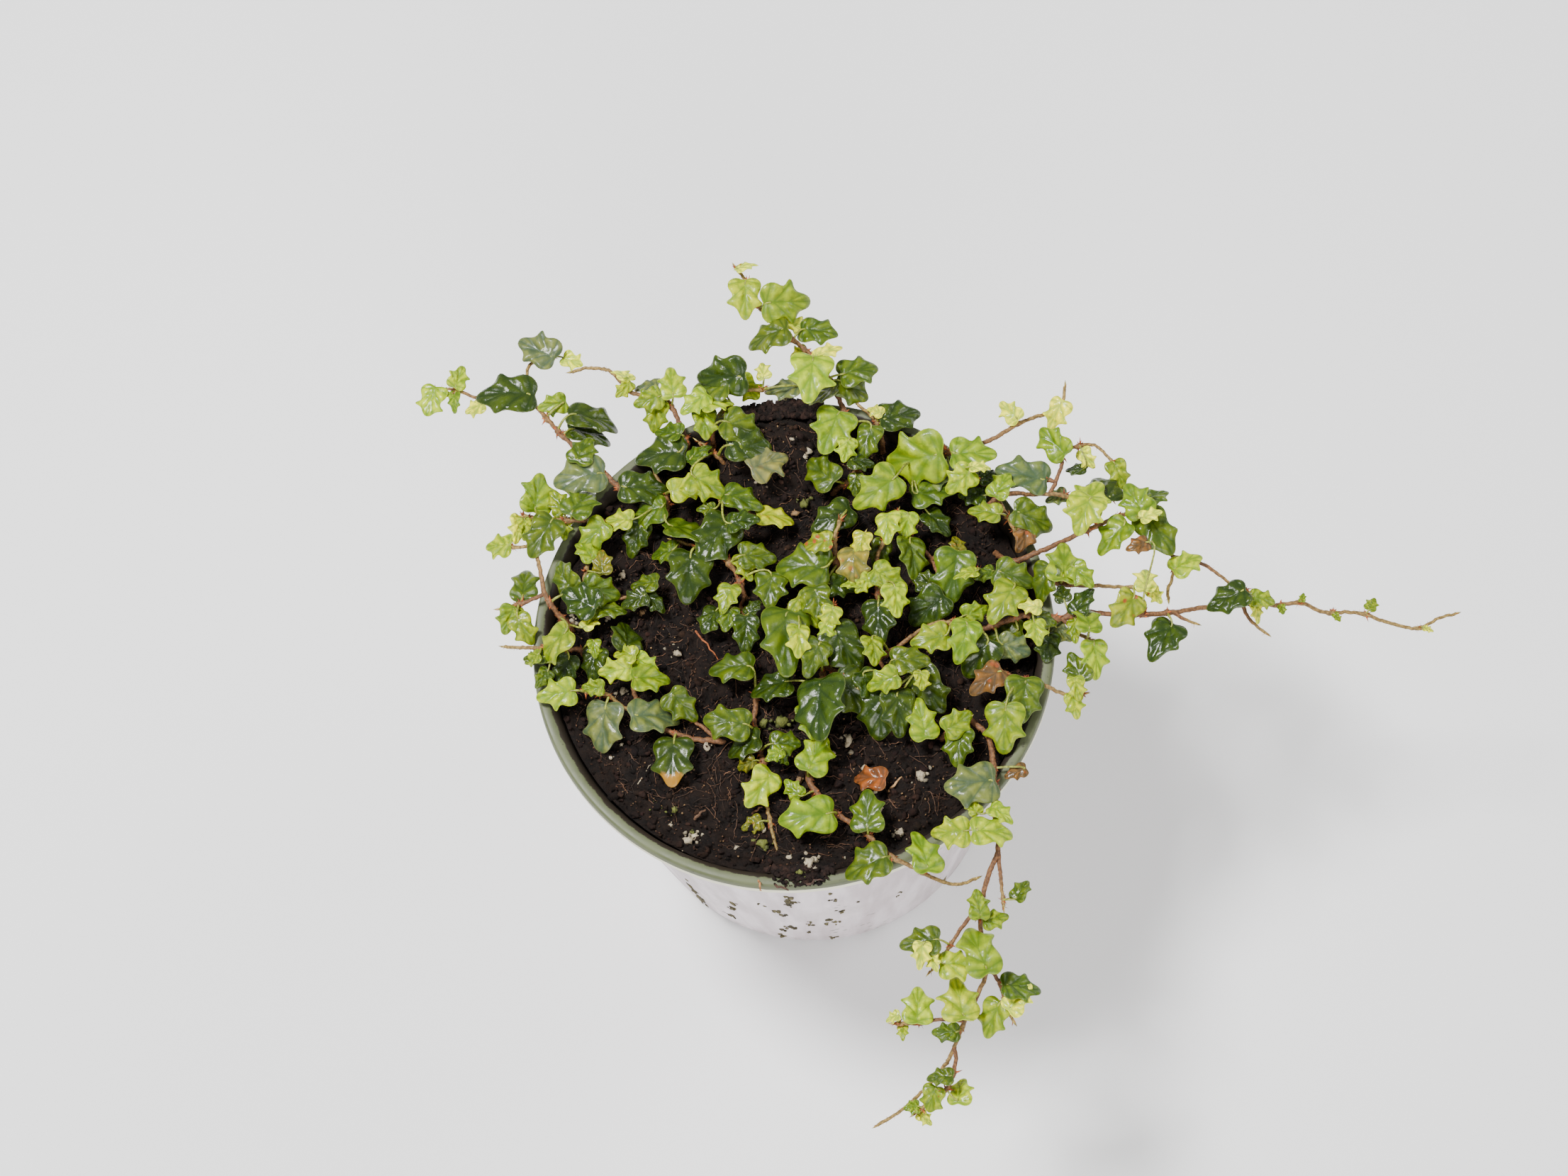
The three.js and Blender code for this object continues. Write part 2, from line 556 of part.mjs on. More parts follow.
function soilSolid(pockets) {
  const top = POT_HEIGHT - SOIL_DEPTH;
  const bottom = FLOOR + GAP;
  const wall = (z) => innerWallRadius(z) - GAP - 0.2;
  let soil = turned(
    [
      [0, bottom],
      [wall(bottom), bottom],
      [wall(top - 1), top - 1],
      [wall(top) - 3, top],
      [wall(top) * 0.6, top + 1],
      [0, top + 1.5],
    ],
    SOIL_SEGMENTS,
  );
  for (const { x, y, depth, radii } of MOUNDS) {
    soil = soil.add(moundSolid(x, y, POT_HEIGHT - depth, radii));
  }
  const low = POT_HEIGHT - 20; // well below the mounds
  const lowRadius = innerWallRadius(low) - GAP;
  const highRadius = innerWallTop - GAP;
  const rimClear = turned(
    [
      [lowRadius, low],
      [RIM_RADIUS + 10, low],
      [RIM_RADIUS + 10, POT_HEIGHT + GAP],
      [highRadius, POT_HEIGHT + GAP],
      [lowRadius, low],
    ],
    POT_SEGMENTS,
  );
  soil = soil.subtract(rimClear);
  // Each stem stands in a pocket of its own.
  for (const pocket of pockets) {
    soil = soil.subtract(pocket);
  }
  return soil;
}

// ---------- stems, petioles and leaves ----------
// Points along straight runs between centres, close enough together to find the nearest.
function alongRuns(centres) {
  return centres.slice(1).flatMap((end, i) => [1, 2, 3].map((k) => centres[i].clone().lerp(end, k / 3)));
}

const nearest = (points, target) =>
  points.reduce((a, b) => (a.distanceToSquared(target) <= b.distanceToSquared(target) ? a : b));

function tubeSolid(curve, steps, radius) {
  const section = new THREE.Shape();
  for (let i = 0; i < STEM_SIDES; i++) {
    const angle = (i / STEM_SIDES) * 2 * Math.PI;
    section[i ? "lineTo" : "moveTo"](radius * Math.cos(angle), radius * Math.sin(angle));
  }
  return solidOf(new THREE.ExtrudeGeometry(section, { steps, bevelEnabled: false, extrudePath: curve }));
}

// A tube along a route. A branch starts on the stems that are already there.
function stemSolid(route, parents) {
  const points = route.map(([x, y, height]) => place(x, y, height));
  if (parents.length) {
    points[0].copy(nearest(parents, points[0]));
  } else {
    points[0].setZ(0).clampLength(0, ROOT_LIMIT).setZ(POT_HEIGHT + ROOT_HEIGHT); // inside the pot's wall
  }
  const curve = new THREE.CatmullRomCurve3(points, false, "centripetal");
  const steps = Math.max(3, points.length);
  return {
    solid: tubeSolid(curve, steps, STEM_RADIUS),
    pocket: tubeSolid(curve, steps, STEM_RADIUS + GAP),
    centres: alongRuns(curve.getSpacedPoints(steps)),
  };
}

// A leaf with its petiole is one closed shape. The lamina is a thin lens with a lobed edge: one point
// above and one below its middle. The petiole is a three-sided prism that runs from the stem to the
// notch between the basal lobes.
function leafSolid(stemPoint, base, heading, length, grow) {
  const angle = THREE.MathUtils.degToRad(heading);
  const ahead = new THREE.Vector3(Math.cos(angle), Math.sin(angle), -Math.tan(LEAF_DROOP)).normalize();
  const left = new THREE.Vector3(-Math.sin(angle), Math.cos(angle), 0);
  const up = ahead.clone().cross(left);
  const petiole = base.clone().sub(stemPoint).normalize();
  // A petiole that would fold back under the lamina turns the lamina's notch towards the stem.
  const side = up.clone().cross(petiole);
  if (side.dot(left) < 0 || side.length() < 0.2) side.copy(left);
  side.normalize();
  const under = petiole.clone().cross(side).negate();

  const half = length < SMALL_LEAF ? PLAIN_HALF : LOBED_HALF;
  const right = half.map(([u, v]) => [u, -v]);
  const outline = [...right, [1, 0], ...[...half].reverse()];
  const at = (u, v, w) =>
    base.clone().addScaledVector(ahead, u * length).addScaledVector(left, v * length).addScaledVector(up, w);
  const widen = 1 + (2 * grow) / length;
  const radius = PETIOLE_RADIUS + grow;
  const ring = (centre) => [
    centre.clone().addScaledVector(side, -radius),
    centre.clone().addScaledVector(side, radius),
    centre.clone().addScaledVector(under, 1.5 * radius),
  ];
  const [nearRight, nearLeft, nearUnder] = ring(base);
  const edge = outline.map(([u, v]) => at(LEAF_MIDDLE + (u - LEAF_MIDDLE) * widen, v * widen, 0));
  const points = [nearRight, ...edge, nearLeft];
  const count = points.length;
  points.push(at(LEAF_MIDDLE, 0, LEAF_TOP + grow), at(LEAF_MIDDLE, 0, -LEAF_UNDER - grow));
  points.push(nearUnder, ...ring(stemPoint));
  const [top, bottom, near, farRight, farLeft, far] = [0, 1, 2, 3, 4, 5].map((i) => count + i);
  const [r, l] = [0, count - 1];
  const faces = [[top, l, r], [bottom, near, l], [bottom, r, near]];
  for (let i = 0; i < count - 1; i++) {
    faces.push([top, i, i + 1], [bottom, i + 1, i]);
  }
  faces.push([r, l, farLeft], [r, farLeft, farRight]);
  faces.push([l, near, far], [l, far, farLeft]);
  faces.push([near, r, farRight], [near, farRight, far]);
  faces.push([farRight, farLeft, far]);
  return solidFrom(points, faces);
}

const boxesMeet = (a, b) => [0, 1, 2].every((i) => a.min[i] <= b.max[i] && b.min[i] <= a.max[i]);

// Solids already placed, with their boxes and the shoot that each belongs to.
const placed = [];

function keep(owner, solid) {
  placed.push({ owner, solid, box: solid.boundingBox() });
}

function isClear(owner, solid) {
  const box = solid.boundingBox();
  return placed.every(
    (other) => other.owner === owner || !boxesMeet(box, other.box) || solid.intersect(other.solid).isEmpty(),
  );
}

// ---------- the object ----------
const pottedCreepingFig = new THREE.Group();
pottedCreepingFig.name = "potted_creeping_fig";
const materials = {
  pot: look("pot_plastic", "#d9d2d4", 0.55),
  soil: look("peat_soil", "#231b18", 0.95),
  plant: look("fig_leaf", "#6f8f35", 0.5),
  dead: look("dead_leaf", "#9c7a45", 0.8),
};

const shoots = Object.entries(SHOOTS).map(([name, { stems, leaves }]) => {
  const solids = [];
  const pockets = [];
  const centres = [];
  for (const route of stems) {
    const stem = stemSolid(route, centres);
    solids.push(stem.solid);
    pockets.push(stem.pocket);
    centres.push(...stem.centres);
  }
  return { name, leaves, solids, pockets, centres };
});
const pot = potSolid();
const soil = soilSolid(shoots.flatMap((shoot) => shoot.pockets));
keep("pot", pot);
keep("soil", soil);
for (const shoot of shoots) {
  for (const solid of shoot.solids) {
    keep(shoot.name, solid);
  }
}

function growLeaf(shoot, [x, y, height, heading, length]) {
  for (const lift of LIFTS) {
    const base = place(x, y, height + lift);
    const stemPoint = nearest(shoot.centres, base);
    if (!isClear(shoot.name, leafSolid(stemPoint, base, heading, length, CLEARANCE))) continue;
    const leaf = leafSolid(stemPoint, base, heading, length, 0);
    keep(shoot.name, leaf);
    return leaf;
  }
  return null; // no room here between the neighbours
}

pottedCreepingFig.add(meshOf("nursery_pot", pot, materials.pot));
pottedCreepingFig.add(meshOf("soil", soil, materials.soil));
for (const [name, [x, y, height, heading, length]] of Object.entries(LOOSE_LEAVES)) {
  const base = place(x, y, height);
  const stalk = new THREE.Vector3(-4, 0, 1).applyAxisAngle(UP, THREE.MathUtils.degToRad(heading));
  const solid = leafSolid(base.clone().add(stalk), base, heading, length, 0);
  keep(name, solid);
  pottedCreepingFig.add(meshOf(name, solid, materials.dead));
}
for (const shoot of shoots) {
  const leaves = shoot.leaves.map((row) => growLeaf(shoot, row)).filter(Boolean);
  const plant = wasm.Manifold.union([...shoot.solids, ...leaves]);
  pottedCreepingFig.add(meshOf(shoot.name, plant, materials.plant));
}

export default pottedCreepingFig;
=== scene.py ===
"""Potted creeping fig with lobed oak-like leaves: the looks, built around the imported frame.

Shapes are worked out in millimetres and turned into metres when a mesh is made. The pot stands on z = 0 and
its axis is the Z axis. Each shoot of the plant is two pieces, its stems and its leaves.
"""

import math

import bpy
import numpy as np
from mathutils import Matrix, Vector, noise
from mathutils.bvhtree import BVHTree


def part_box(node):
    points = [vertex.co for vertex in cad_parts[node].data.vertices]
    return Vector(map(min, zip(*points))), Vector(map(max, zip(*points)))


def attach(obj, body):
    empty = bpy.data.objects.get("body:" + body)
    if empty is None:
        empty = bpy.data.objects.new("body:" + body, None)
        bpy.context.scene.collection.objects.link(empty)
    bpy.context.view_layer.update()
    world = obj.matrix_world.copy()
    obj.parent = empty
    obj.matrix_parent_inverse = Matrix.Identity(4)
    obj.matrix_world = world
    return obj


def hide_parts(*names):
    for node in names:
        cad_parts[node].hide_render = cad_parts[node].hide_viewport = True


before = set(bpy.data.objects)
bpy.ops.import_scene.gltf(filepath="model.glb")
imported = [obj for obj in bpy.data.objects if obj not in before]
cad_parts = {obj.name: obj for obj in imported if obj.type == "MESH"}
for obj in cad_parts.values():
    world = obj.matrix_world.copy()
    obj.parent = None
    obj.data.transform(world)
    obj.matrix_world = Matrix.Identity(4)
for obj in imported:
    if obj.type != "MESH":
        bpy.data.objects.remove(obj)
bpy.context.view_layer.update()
POT_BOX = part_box("nursery_pot")

MM = 0.001
SEED = 46

# ---------- pot and soil, in millimetres ----------
POT_HEIGHT = POT_BOX[1][2] / MM
RIM_RADIUS = (POT_BOX[1][0] - POT_BOX[0][0]) / 2 / MM
RIM_INNER_RADIUS = RIM_RADIUS - 4
WALL_TOP_RADIUS = RIM_RADIUS - 4.8  # inside of the wall, just under the rim
BASE_RADIUS = RIM_RADIUS - 18
RIM_DROP = 5
WALL = 1.5
FLOOR = 2.5
DRAIN_HOLES = 8
DRAIN_RADIUS = 5
DRAIN_RING_RADIUS = 42
SOIL_TOP = POT_HEIGHT - 6
ROOT_LIMIT = RIM_RADIUS - 9.5

# Places are marks on the rim plane with a height over it. A mark at a height slides along the straight
# line to this far point, so that it keeps its place in the layered mat of leaves. The camera stands there.
FAR_POINT = np.array([41.0, -276.0, 701.0])
ROOT_HEIGHT = -10

# ---------- leaves ----------
LEAF_AROUND = 48
LEAF_RINGS = (0.14, 0.28, 0.42, 0.55, 0.68, 0.79, 0.88, 0.95, 1.0)
LEAF_MIDDLE = 0.38
LEAF_THICKNESS = 0.3
# Main veins of a leaf of length 1, as (along, aside) from start to end. The side ones are on both sides.
VEINS = (
    ((0.0, 0.0), (1.0, 0.0)),
    ((0.0, 0.0), (-0.09, 0.28)),
    ((0.02, 0.0), (0.13, 0.45)),
    ((0.16, 0.0), (0.62, 0.45)),
    ((0.46, 0.0), (0.86, 0.17)),
)

# Each tone: colour of the blade (sRGB, 0 to 255), gloss, depth of the lobes, curl, share of rust spots.
TONES = {
    "deep": ((48, 65, 13), 1.0, 0.35, 0.25, 0.0),
    "burnt": ((48, 65, 13), 0.8, 0.45, 0.3, 0.0),
    "mid": ((74, 93, 10), 0.7, 0.5, 0.3, 0.0),
    "light": ((117, 139, 5), 0.55, 0.6, 0.35, 0.05),
    "lime": ((148, 168, 2), 0.5, 0.75, 0.4, 0.05),
    "pale": ((212, 218, 50), 0.35, 0.9, 0.5, 0.0),
    "grey": ((90, 102, 58), 0.5, 0.5, 0.35, 0.0),
    "olive": ((100, 100, 16), 0.5, 0.5, 0.4, 0.35),
    "yellow": ((166, 170, 4), 0.4, 0.6, 0.4, 0.3),
    "spotted": ((130, 142, 10), 0.5, 0.5, 0.3, 1.0),
    "tan": ((118, 108, 38), 0.15, 0.6, 0.8, 0.5),
    "dead": ((104, 72, 34), 0.1, 0.5, 1.0, 0.6),
    "straw": ((110, 112, 66), 0.15, 0.9, 0.9, 0.1),
    "rust": ((126, 66, 26), 0.1, 0.6, 1.2, 0.3),
}

# ---------- the plant ----------
# stems: routes of [x, y, height]. leaves: [x, y, height, heading in degrees, length, tone].
SHOOTS = {
    "runner_back_left": {
        "stems": [
            [[-46, 43, -10], [-48, 45, -3], [-51.5, 48.5, 2.5], [-60, 57, 3], [-65, 62, 3], [-69, 66, 2],
             [-75, 73, 0], [-80, 80, -3], [-81, 86, -5], [-80, 91, -7], [-74, 93, -8]],
            [[-80, 80, -3], [-87, 79, -6], [-96, 80, -9], [-103, 83, -10], [-109, 83, -12]],
        ],
        "leaves": [
            [-67, 74, 5, -8, 15, "deep"], [-67, 69, 2, -10, 13, "deep"], [-69, 78, 1, 195, 8.5, "light"],
            [-65, 58, 7, 65, 9.5, "mid"], [-57, 54, 2, 190, 15, "grey"], [-51, 49, 1, 0, 14, "deep"],
            [-79, 81, -1, 180, 17.5, "deep"], [-73, 93, -4, 150, 13, "grey"],
            [-70, 93, -7, -25, 6.5, "pale"], [-94, 78, -9, 190, 7.5, "pale"],
            [-103, 84, -7, 70, 7.5, "lime"], [-103, 82, -9, 262, 6.5, "light"],
            [-109, 84, -10, 252, 9.5, "lime"], [-109, 82, -13, -5, 5.5, "lime"],
        ],
    },
    "runner_back_left_thin": {
        "stems": [
            [[-31, 57, -10], [-31.5, 61.5, 1.5], [-33, 67, 2.5], [-35, 72, 3], [-37, 76, 3], [-40, 79, 3],
             [-48, 80, 2], [-52, 84, 1], [-56, 88, 0], [-62, 89, -2], [-67, 88, -3]],
        ],
        "leaves": [
            [-34, 66, 6, 160, 9.5, "mid"], [-33, 60, 3, 180, 15, "deep"], [-40, 79, 8, 200, 8.5, "light"],
            [-41, 77, 5, 262, 9.5, "light"], [-36, 79, 8, 98, 11, "lime"], [-41, 83, 3, 175, 8.5, "grey"],
            [-50, 85, 1, 130, 7.5, "pale"], [-49, 84, 4, 232, 6.5, "lime"],
        ],
    },
    "shoot_back_left": {
        "stems": [
            [[-23, 58, -10], [-24, 64, 1.5], [-25, 70, 3], [-24, 76, 6], [-19, 80, 6], [-14, 80, 5],
             [-9, 80, 4]],
        ],
        "leaves": [
            [-26, 79, 11, 215, 9.5, "lime"], [-27, 76, 10, 15, 9.5, "lime"],
            [-27, 74, 8, 278, 9.5, "light"], [-20, 70, 5, -20, 13, "mid"], [-15, 85, 8, 175, 15, "deep"],
            [-20, 82, 11, 170, 13, "mid"], [-16, 84, 5, -45, 8.5, "lime"], [2, 81, 3, 178, 11, "grey"],
            [-8.5, 84, 7, 100, 6, "pale"], [-18, 74, 3, 200, 5.5, "olive"],
        ],
    },
    "shoot_back_left_inner": {
        "stems": [
            [[-19, 50, -10], [-20, 55, -2], [-23, 59, 1], [-28, 63, 2]],
        ],
        "leaves": [
            [-19, 62, 3, 0, 13, "deep"], [-31, 57, 4, 45, 8.5, "mid"], [-30, 52, 6, -25, 12, "light"],
        ],
    },
    "shoot_left_back": {
        "stems": [
            [[-37, 37, -10], [-37.5, 42, -2], [-38.5, 47, 1], [-41, 53, 2], [-42, 57, 2]],
        ],
        "leaves": [
            [-38.5, 42, 4, 190, 11, "mid"], [-36, 47, 7, 20, 11, "lime"], [-48, 38, 4, 170, 8.5, "lime"],
            [-45, 37, 0, 250, 11, "deep"], [-37, 36, 5, -5, 15, "mid"], [-31, 48, 3, 20, 9.5, "mid"],
        ],
    },
    "runner_left_thin": {
        "stems": [
            [[-51, 36, -10], [-54, 37, -3], [-59, 38, 1], [-66, 38.5, 3], [-73, 39, 3], [-80, 40, 1]],
        ],
        "leaves": [
            [-56, 37, 4, 222, 11, "light"], [-66, 41, 7, 60, 12, "mid"], [-68, 41, 4, 120, 8.5, "light"],
            [-68, 39, 1, 270, 6.5, "light"], [-71.5, 39, 7, 240, 13, "mid"], [-77, 42, 5, 80, 12, "light"],
            [-81, 40, 1, 265, 8.5, "pale"], [-80, 39.5, 4, 275, 6.5, "lime"],
        ],
    },
    "runner_left": {
        "stems": [
            [[-63, 1, -10], [-65, 4, -3], [-70, 10, 2], [-73, 15, 4], [-74, 20, 5], [-75.5, 26, 4],
             [-77, 30, 3], [-83, 30, 0]],
            [[-73, 15, 4], [-78, 12.5, 3], [-83, 11, 1], [-86, 10.5, 0]],
        ],
        "leaves": [
            [-84, 31, 1, 172, 8.5, "lime"], [-79.5, 14, 1, 90, 12, "mid"], [-66, 3, 3, 215, 12, "light"],
            [-61, 4, 2, 50, 6.5, "pale"], [-65, 16, 3, 122, 11, "mid"], [-82, 11, 3, 250, 8.5, "light"],
            [-81, 8, 1, 300, 9.5, "light"],
        ],
    },
    "shoot_left": {
        "stems": [
            [[-53, 10, -10], [-57, 13, -2], [-61, 17, 1], [-61, 21, 2], [-60, 25, 2]],
            [[-57, 13, -2], [-50, 13, -1], [-43, 14, -1]],
        ],
        "leaves": [
            [-61, 17, 4, -10, 11, "mid"], [-58, 10, 5, 150, 12, "deep"], [-58, 10, 2, 0, 9.5, "mid"],
            [-59, 26, 3, 130, 8.5, "light"], [-56, 21, 3, 95, 7.5, "olive"], [-43, 14, 3, 200, 8.5, "deep"],
            [-43, 14, 1, -40, 7.5, "deep"], [-40, 18, 3, 180, 8.5, "mid"],
        ],
    },
    "runner_left_front": {
        "stems": [
            [[-57, -12, -10], [-59, -7, -3], [-62, -3, -1], [-67, -3, 1], [-72, -2.5, 2], [-78, -2, 1],
             [-84, -1.5, -1]],
        ],
        "leaves": [
            [-72, -5, 4, 185, 6.5, "mid"], [-71, -9, 3, 240, 6.5, "mid"], [-65, -5, 2, 250, 9.5, "deep"],
            [-57.5, -3, 2, 262, 9.5, "deep"], [-58, 0, 3, 275, 5.5, "light"],
            [-74, -4, 6, 200, 5.5, "light"],
        ],
    },
    "shoot_left_front": {
        "stems": [
            [[-41, -24, -10], [-44, -21, -5], [-46, -16, -2], [-46, -9, 1], [-47, -3, 1]],
        ],
        "leaves": [
            [-48, -3, 2, 95, 13, "deep"], [-46, -5, 5, 165, 7.5, "lime"], [-47, -9, 4, 190, 9.5, "lime"],
            [-45.5, -6, 3, -30, 7.5, "lime"], [-46, -12, 3, 5, 11, "light"],
        ],
    },
    "runner_front_left": {
        "stems": [
            [[-17, -33, -10], [-21, -32, -5], [-29, -31, -4], [-36, -28.5, -3], [-43, -25, -3],
             [-50, -20, -1], [-54, -17, 1], [-60, -16, 2]],
            [[-21, -32, -5], [-26, -27.5, -4], [-31, -24, -3], [-34, -19, -2]],
        ],
        "leaves": [
            [-63.5, -15.5, 4, 190, 11, "lime"], [-55, -15, 3, 175, 6.5, "light"],
            [-54, -20, 0, 262, 14, "grey"], [-46, -23.5, 1, 5, 14.5, "grey"],
            [-34, -31, 0, 268, 14, "burnt"], [-35, -17, 1, -45, 11, "mid"],
        ],
    },
    "shoot_front_left": {
        "stems": [
            [[-10, -15, -10], [-10.5, -20, -4], [-11, -27, -3], [-9, -36, -3], [-8, -42, -3],
             [-7.5, -50, -4], [-6, -58, -5], [-4, -66, -6]],
        ],
        "leaves": [
            [-13, -27, 3, 172, 13, "mid"], [-10, -31, 0, 200, 11, "deep"], [-11, -38, -1, 200, 6, "olive"],
            [-6, -42, 1, 235, 12, "lime"], [-6, -33, 1, 0, 8.5, "mid"], [-3, -35, 4, 215, 5.5, "light"],
            [-4, -36, 3, -45, 4.5, "mid"], [-9, -56, -3, 200, 6, "olive"], [-12, -9, 3, 178, 13, "mid"],
        ],
    },
    "runner_front": {
        "stems": [
            [[5, -37, -10], [4.5, -42, -3], [6, -47, -2], [12, -54, -2], [17, -57.5, -1], [21, -60.5, 1],
             [25, -65, 3], [29, -68, 4], [34, -70.5, 3], [40, -74, 0], [46, -75.5, -3], [51, -74, -5]],
        ],
        "leaves": [
            [4.5, -41, 3, 65, 12, "light"], [2, -49, 1, 130, 6.5, "light"], [11, -54, 3, 190, 15, "light"],
            [21, -59, 4, 90, 12, "mid"], [26, -67, 7, 200, 13, "mid"], [38, -71, 6, 105, 13, "light"],
        ],
    },
    "shoot_front": {
        "stems": [
            [[9, -6, -10], [9, -10, 0], [8, -16, 4], [8, -22, 5]],
            [[9, -10, 0], [14, -12, 3], [18, -16, 4]],
        ],
        "leaves": [
            [8, -14, 9, 268, 18.5, "deep"], [13, -13, 6, -45, 14, "deep"], [-1, -14, 4, 190, 12, "deep"],
            [12, 2, 8, -60, 15, "deep"], [8, -2, 11, 250, 11, "mid"], [4, -22, 5, 285, 9.5, "light"],
        ],
    },
    "shoot_centre": {
        "stems": [
            [[0, -4, -10], [0, 1, -1], [3, 8, 3], [8, 12, 6], [12, 9, 8]],
        ],
        "leaves": [
            [-2, 8, 9, 272, 20.5, "mid"], [2, 3, 13, 270, 9.5, "lime"], [1.5, 11.5, 9, -45, 11, "light"],
            [6.5, 15, 8, 280, 11, "mid"], [12, 8.5, 11, 250, 7.5, "lime"], [10, 4, 9, 268, 6.5, "lime"],
        ],
    },
    "shoot_centre_left": {
        "stems": [
            [[-11, 9, -10], [-14, 13, -3], [-16, 19, 0], [-19, 24, 2], [-21, 28, 4], [-19, 34, 3]],
            [[-21, 28, 4], [-28, 29, 2], [-35, 31, 1]],
            [[-14, 13, -3], [-15, 9, -2], [-14, 6, -2]],
        ],
        "leaves": [
            [-15, 26, 5, 0, 11, "mid"], [-15, 26, 3, 290, 8.5, "light"], [-19, 37, 4, 235, 15, "deep"],
            [-18, 16, 4, 250, 8.5, "light"], [-22, 9, 1, 240, 8.5, "deep"], [-18, 9, 2, 255, 7.5, "mid"],
            [-13.5, 6, 2, 268, 11, "deep"], [-13, 7, 2, 50, 5.5, "deep"], [-6, 20, 3, 265, 11, "mid"],
            [-30, 27, 5, 265, 15, "deep"], [-35, 28, 3, 180, 8.5, "mid"],
        ],
    },
    "shoot_back_centre_left": {
        "stems": [
            [[-14, 37, -10], [-16, 41, -3], [-19, 45, 0], [-21, 44, 3]],
            [[-16, 41, -3], [-12, 39, -1], [-9, 38, 0]],
        ],
        "leaves": [
            [-20, 46, 5, -20, 12, "mid"], [-10, 39, 2, -5, 11, "yellow"], [-23, 41, 5, 180, 5.5, "mid"],
            [-19, 36, 8, 10, 9.5, "deep"],
        ],
    },
    "shoot_centre_back": {
        "stems": [
            [[13, 17, -10], [13, 22, 0], [12.5, 30, 5], [14, 36, 5]],
            [[13, 22, 0], [18, 26, 5], [21, 31, 7]],
        ],
        "leaves": [
            [11, 30, 10, 180, 9.5, "spotted"], [10, 21, 6, 172, 15, "mid"], [17, 40, 4, 210, 13, "deep"],
            [18, 27, 8, 270, 11, "tan"], [21, 32, 10, 255, 7.5, "yellow"], [10, 16, 3, 0, 9.5, "deep"],
            [20, 16, 6, 180, 6, "lime"],
        ],
    },
    "shoot_back_centre": {
        "stems": [
            [[10, 42, -10], [13.5, 46.5, -2], [17, 49, 1], [20, 54, 3], [21, 60, 4]],
        ],
        "leaves": [
            [12, 49, 5, 130, 13, "mid"], [17, 56, 4, 0, 8.5, "deep"], [19, 51, 5, 265, 6.5, "mid"],
            [17, 63, 9, 260, 7.5, "lime"],
        ],
    },
    "runner_back": {
        "stems": [
            [[17, 61, -10], [16.5, 67, 1.5], [15, 74, 4], [13, 79, 6], [11, 83, 8], [9, 87, 10],
             [5, 92, 12], [1, 96, 14], [-3, 99.5, 15], [-9, 107, 16], [-12, 113, 17], [-15, 119, 18],
             [-17, 122, 19]],
        ],
        "leaves": [
            [14, 72, 7, 250, 14, "light"], [24, 67, 7, 250, 11, "mid"], [15, 84.5, 11, 18, 11.5, "mid"],
            [14, 83, 8, -30, 11, "mid"], [13, 80, 3, 200, 9.5, "grey"], [6.5, 91, 16, 265, 15, "lime"],
            [7, 91, 12, 22, 8.5, "pale"], [4, 93, 11, 190, 5.5, "pale"], [3, 100.5, 14, -12, 11, "mid"],
            [-4, 104, 13, -20, 9.5, "pale"], [-8, 110, 19, 10, 15, "light"], [-2, 101, 18, 195, 13, "mid"],
            [-14.5, 118, 21, 272, 12, "lime"], [-17, 122, 20, 25, 6.5, "pale"],
        ],
    },
    "shoot_back_right": {
        "stems": [
            [[27, 56, -10], [27, 61, 1.5], [26, 67, 3], [24, 70, 3], [20, 74, 4]],
        ],
        "leaves": [
            [27, 69, 6, 20, 13, "deep"], [27, 71, 5, 150, 5.5, "pale"],
        ],
    },
    "runner_back_right": {
        "stems": [
            [[35, 46, -10], [34, 51, -2], [38, 55, 3], [45, 57, 5], [52, 59, 6], [59, 61, 7], [64, 64, 7],
             [69, 67, 6], [76, 69.5, 4], [81, 73, 3], [82, 78, 3]],
        ],
        "leaves": [
            [44, 57, 10, 178, 18.5, "light"], [31, 50, 11, 215, 15, "light"], [47, 53, 3, 215, 13, "grey"],
            [36, 44, 3, 10, 13, "mid"], [40, 38, 1, -45, 9.5, "deep"], [67.5, 68, 8, 130, 8.5, "pale"],
            [81, 73.5, 5, 240, 9.5, "pale"], [48, 57, 11, 0, 13, "light"],
        ],
    },
    "shoot_right_back": {
        "stems": [
            [[50, 42, -10], [52, 46, 1.5], [54, 49, 2.5], [58, 46, 3], [60.5, 42, 4], [63, 37, 4],
             [65.5, 31, 3], [66, 28, 2]],
        ],
        "leaves": [
            [53, 51, 12, 215, 9.5, "lime"], [53, 52.5, 14, 0, 6, "pale"], [56, 49, 4, 0, 6.5, "deep"],
            [60, 43, 8, 60, 8.5, "light"], [61, 37, 9, 165, 9.5, "light"], [57, 43, 3, 165, 8.5, "deep"],
            [66, 38, 8, -20, 13, "mid"], [70, 34, 5, 250, 9.5, "dead"],
        ],
    },
    "runner_right_back": {
        "stems": [
            [[58, 26, -10], [62, 22.5, 1], [66, 22, 2.5], [71, 24, 4], [76, 26, 5], [82, 29, 5],
             [90, 32.5, 5], [99, 36, 4], [103, 32, 2], [107, 26, 0], [111, 22, -2], [110.5, 15.5, -5],
             [109, 12, -8], [109, 9, -10]],
            [[111, 22, -2], [119.5, 19.5, -4], [126, 14, -6], [131, 11, -7]],
        ],
        "leaves": [
            [98, 33, 8, 222, 12, "light"], [103, 36, 9, 115, 11, "light"], [103, 40, 5, 30, 9.5, "mid"],
            [104, 36, 6, 300, 14, "mid"], [102.5, 34.5, 11, 20, 6.5, "pale"], [85, 37, 10, 60, 13, "lime"],
            [88, 42, 12, 250, 12, "lime"], [111, 18, -1, 30, 9.5, "lime"], [131, 11, -5, 200, 12, "deep"],
            [133, 9, -7, -10, 7.5, "light"], [134, 7, -9, 280, 6.5, "pale"],
        ],
    },
    "shoot_right_top": {
        "stems": [
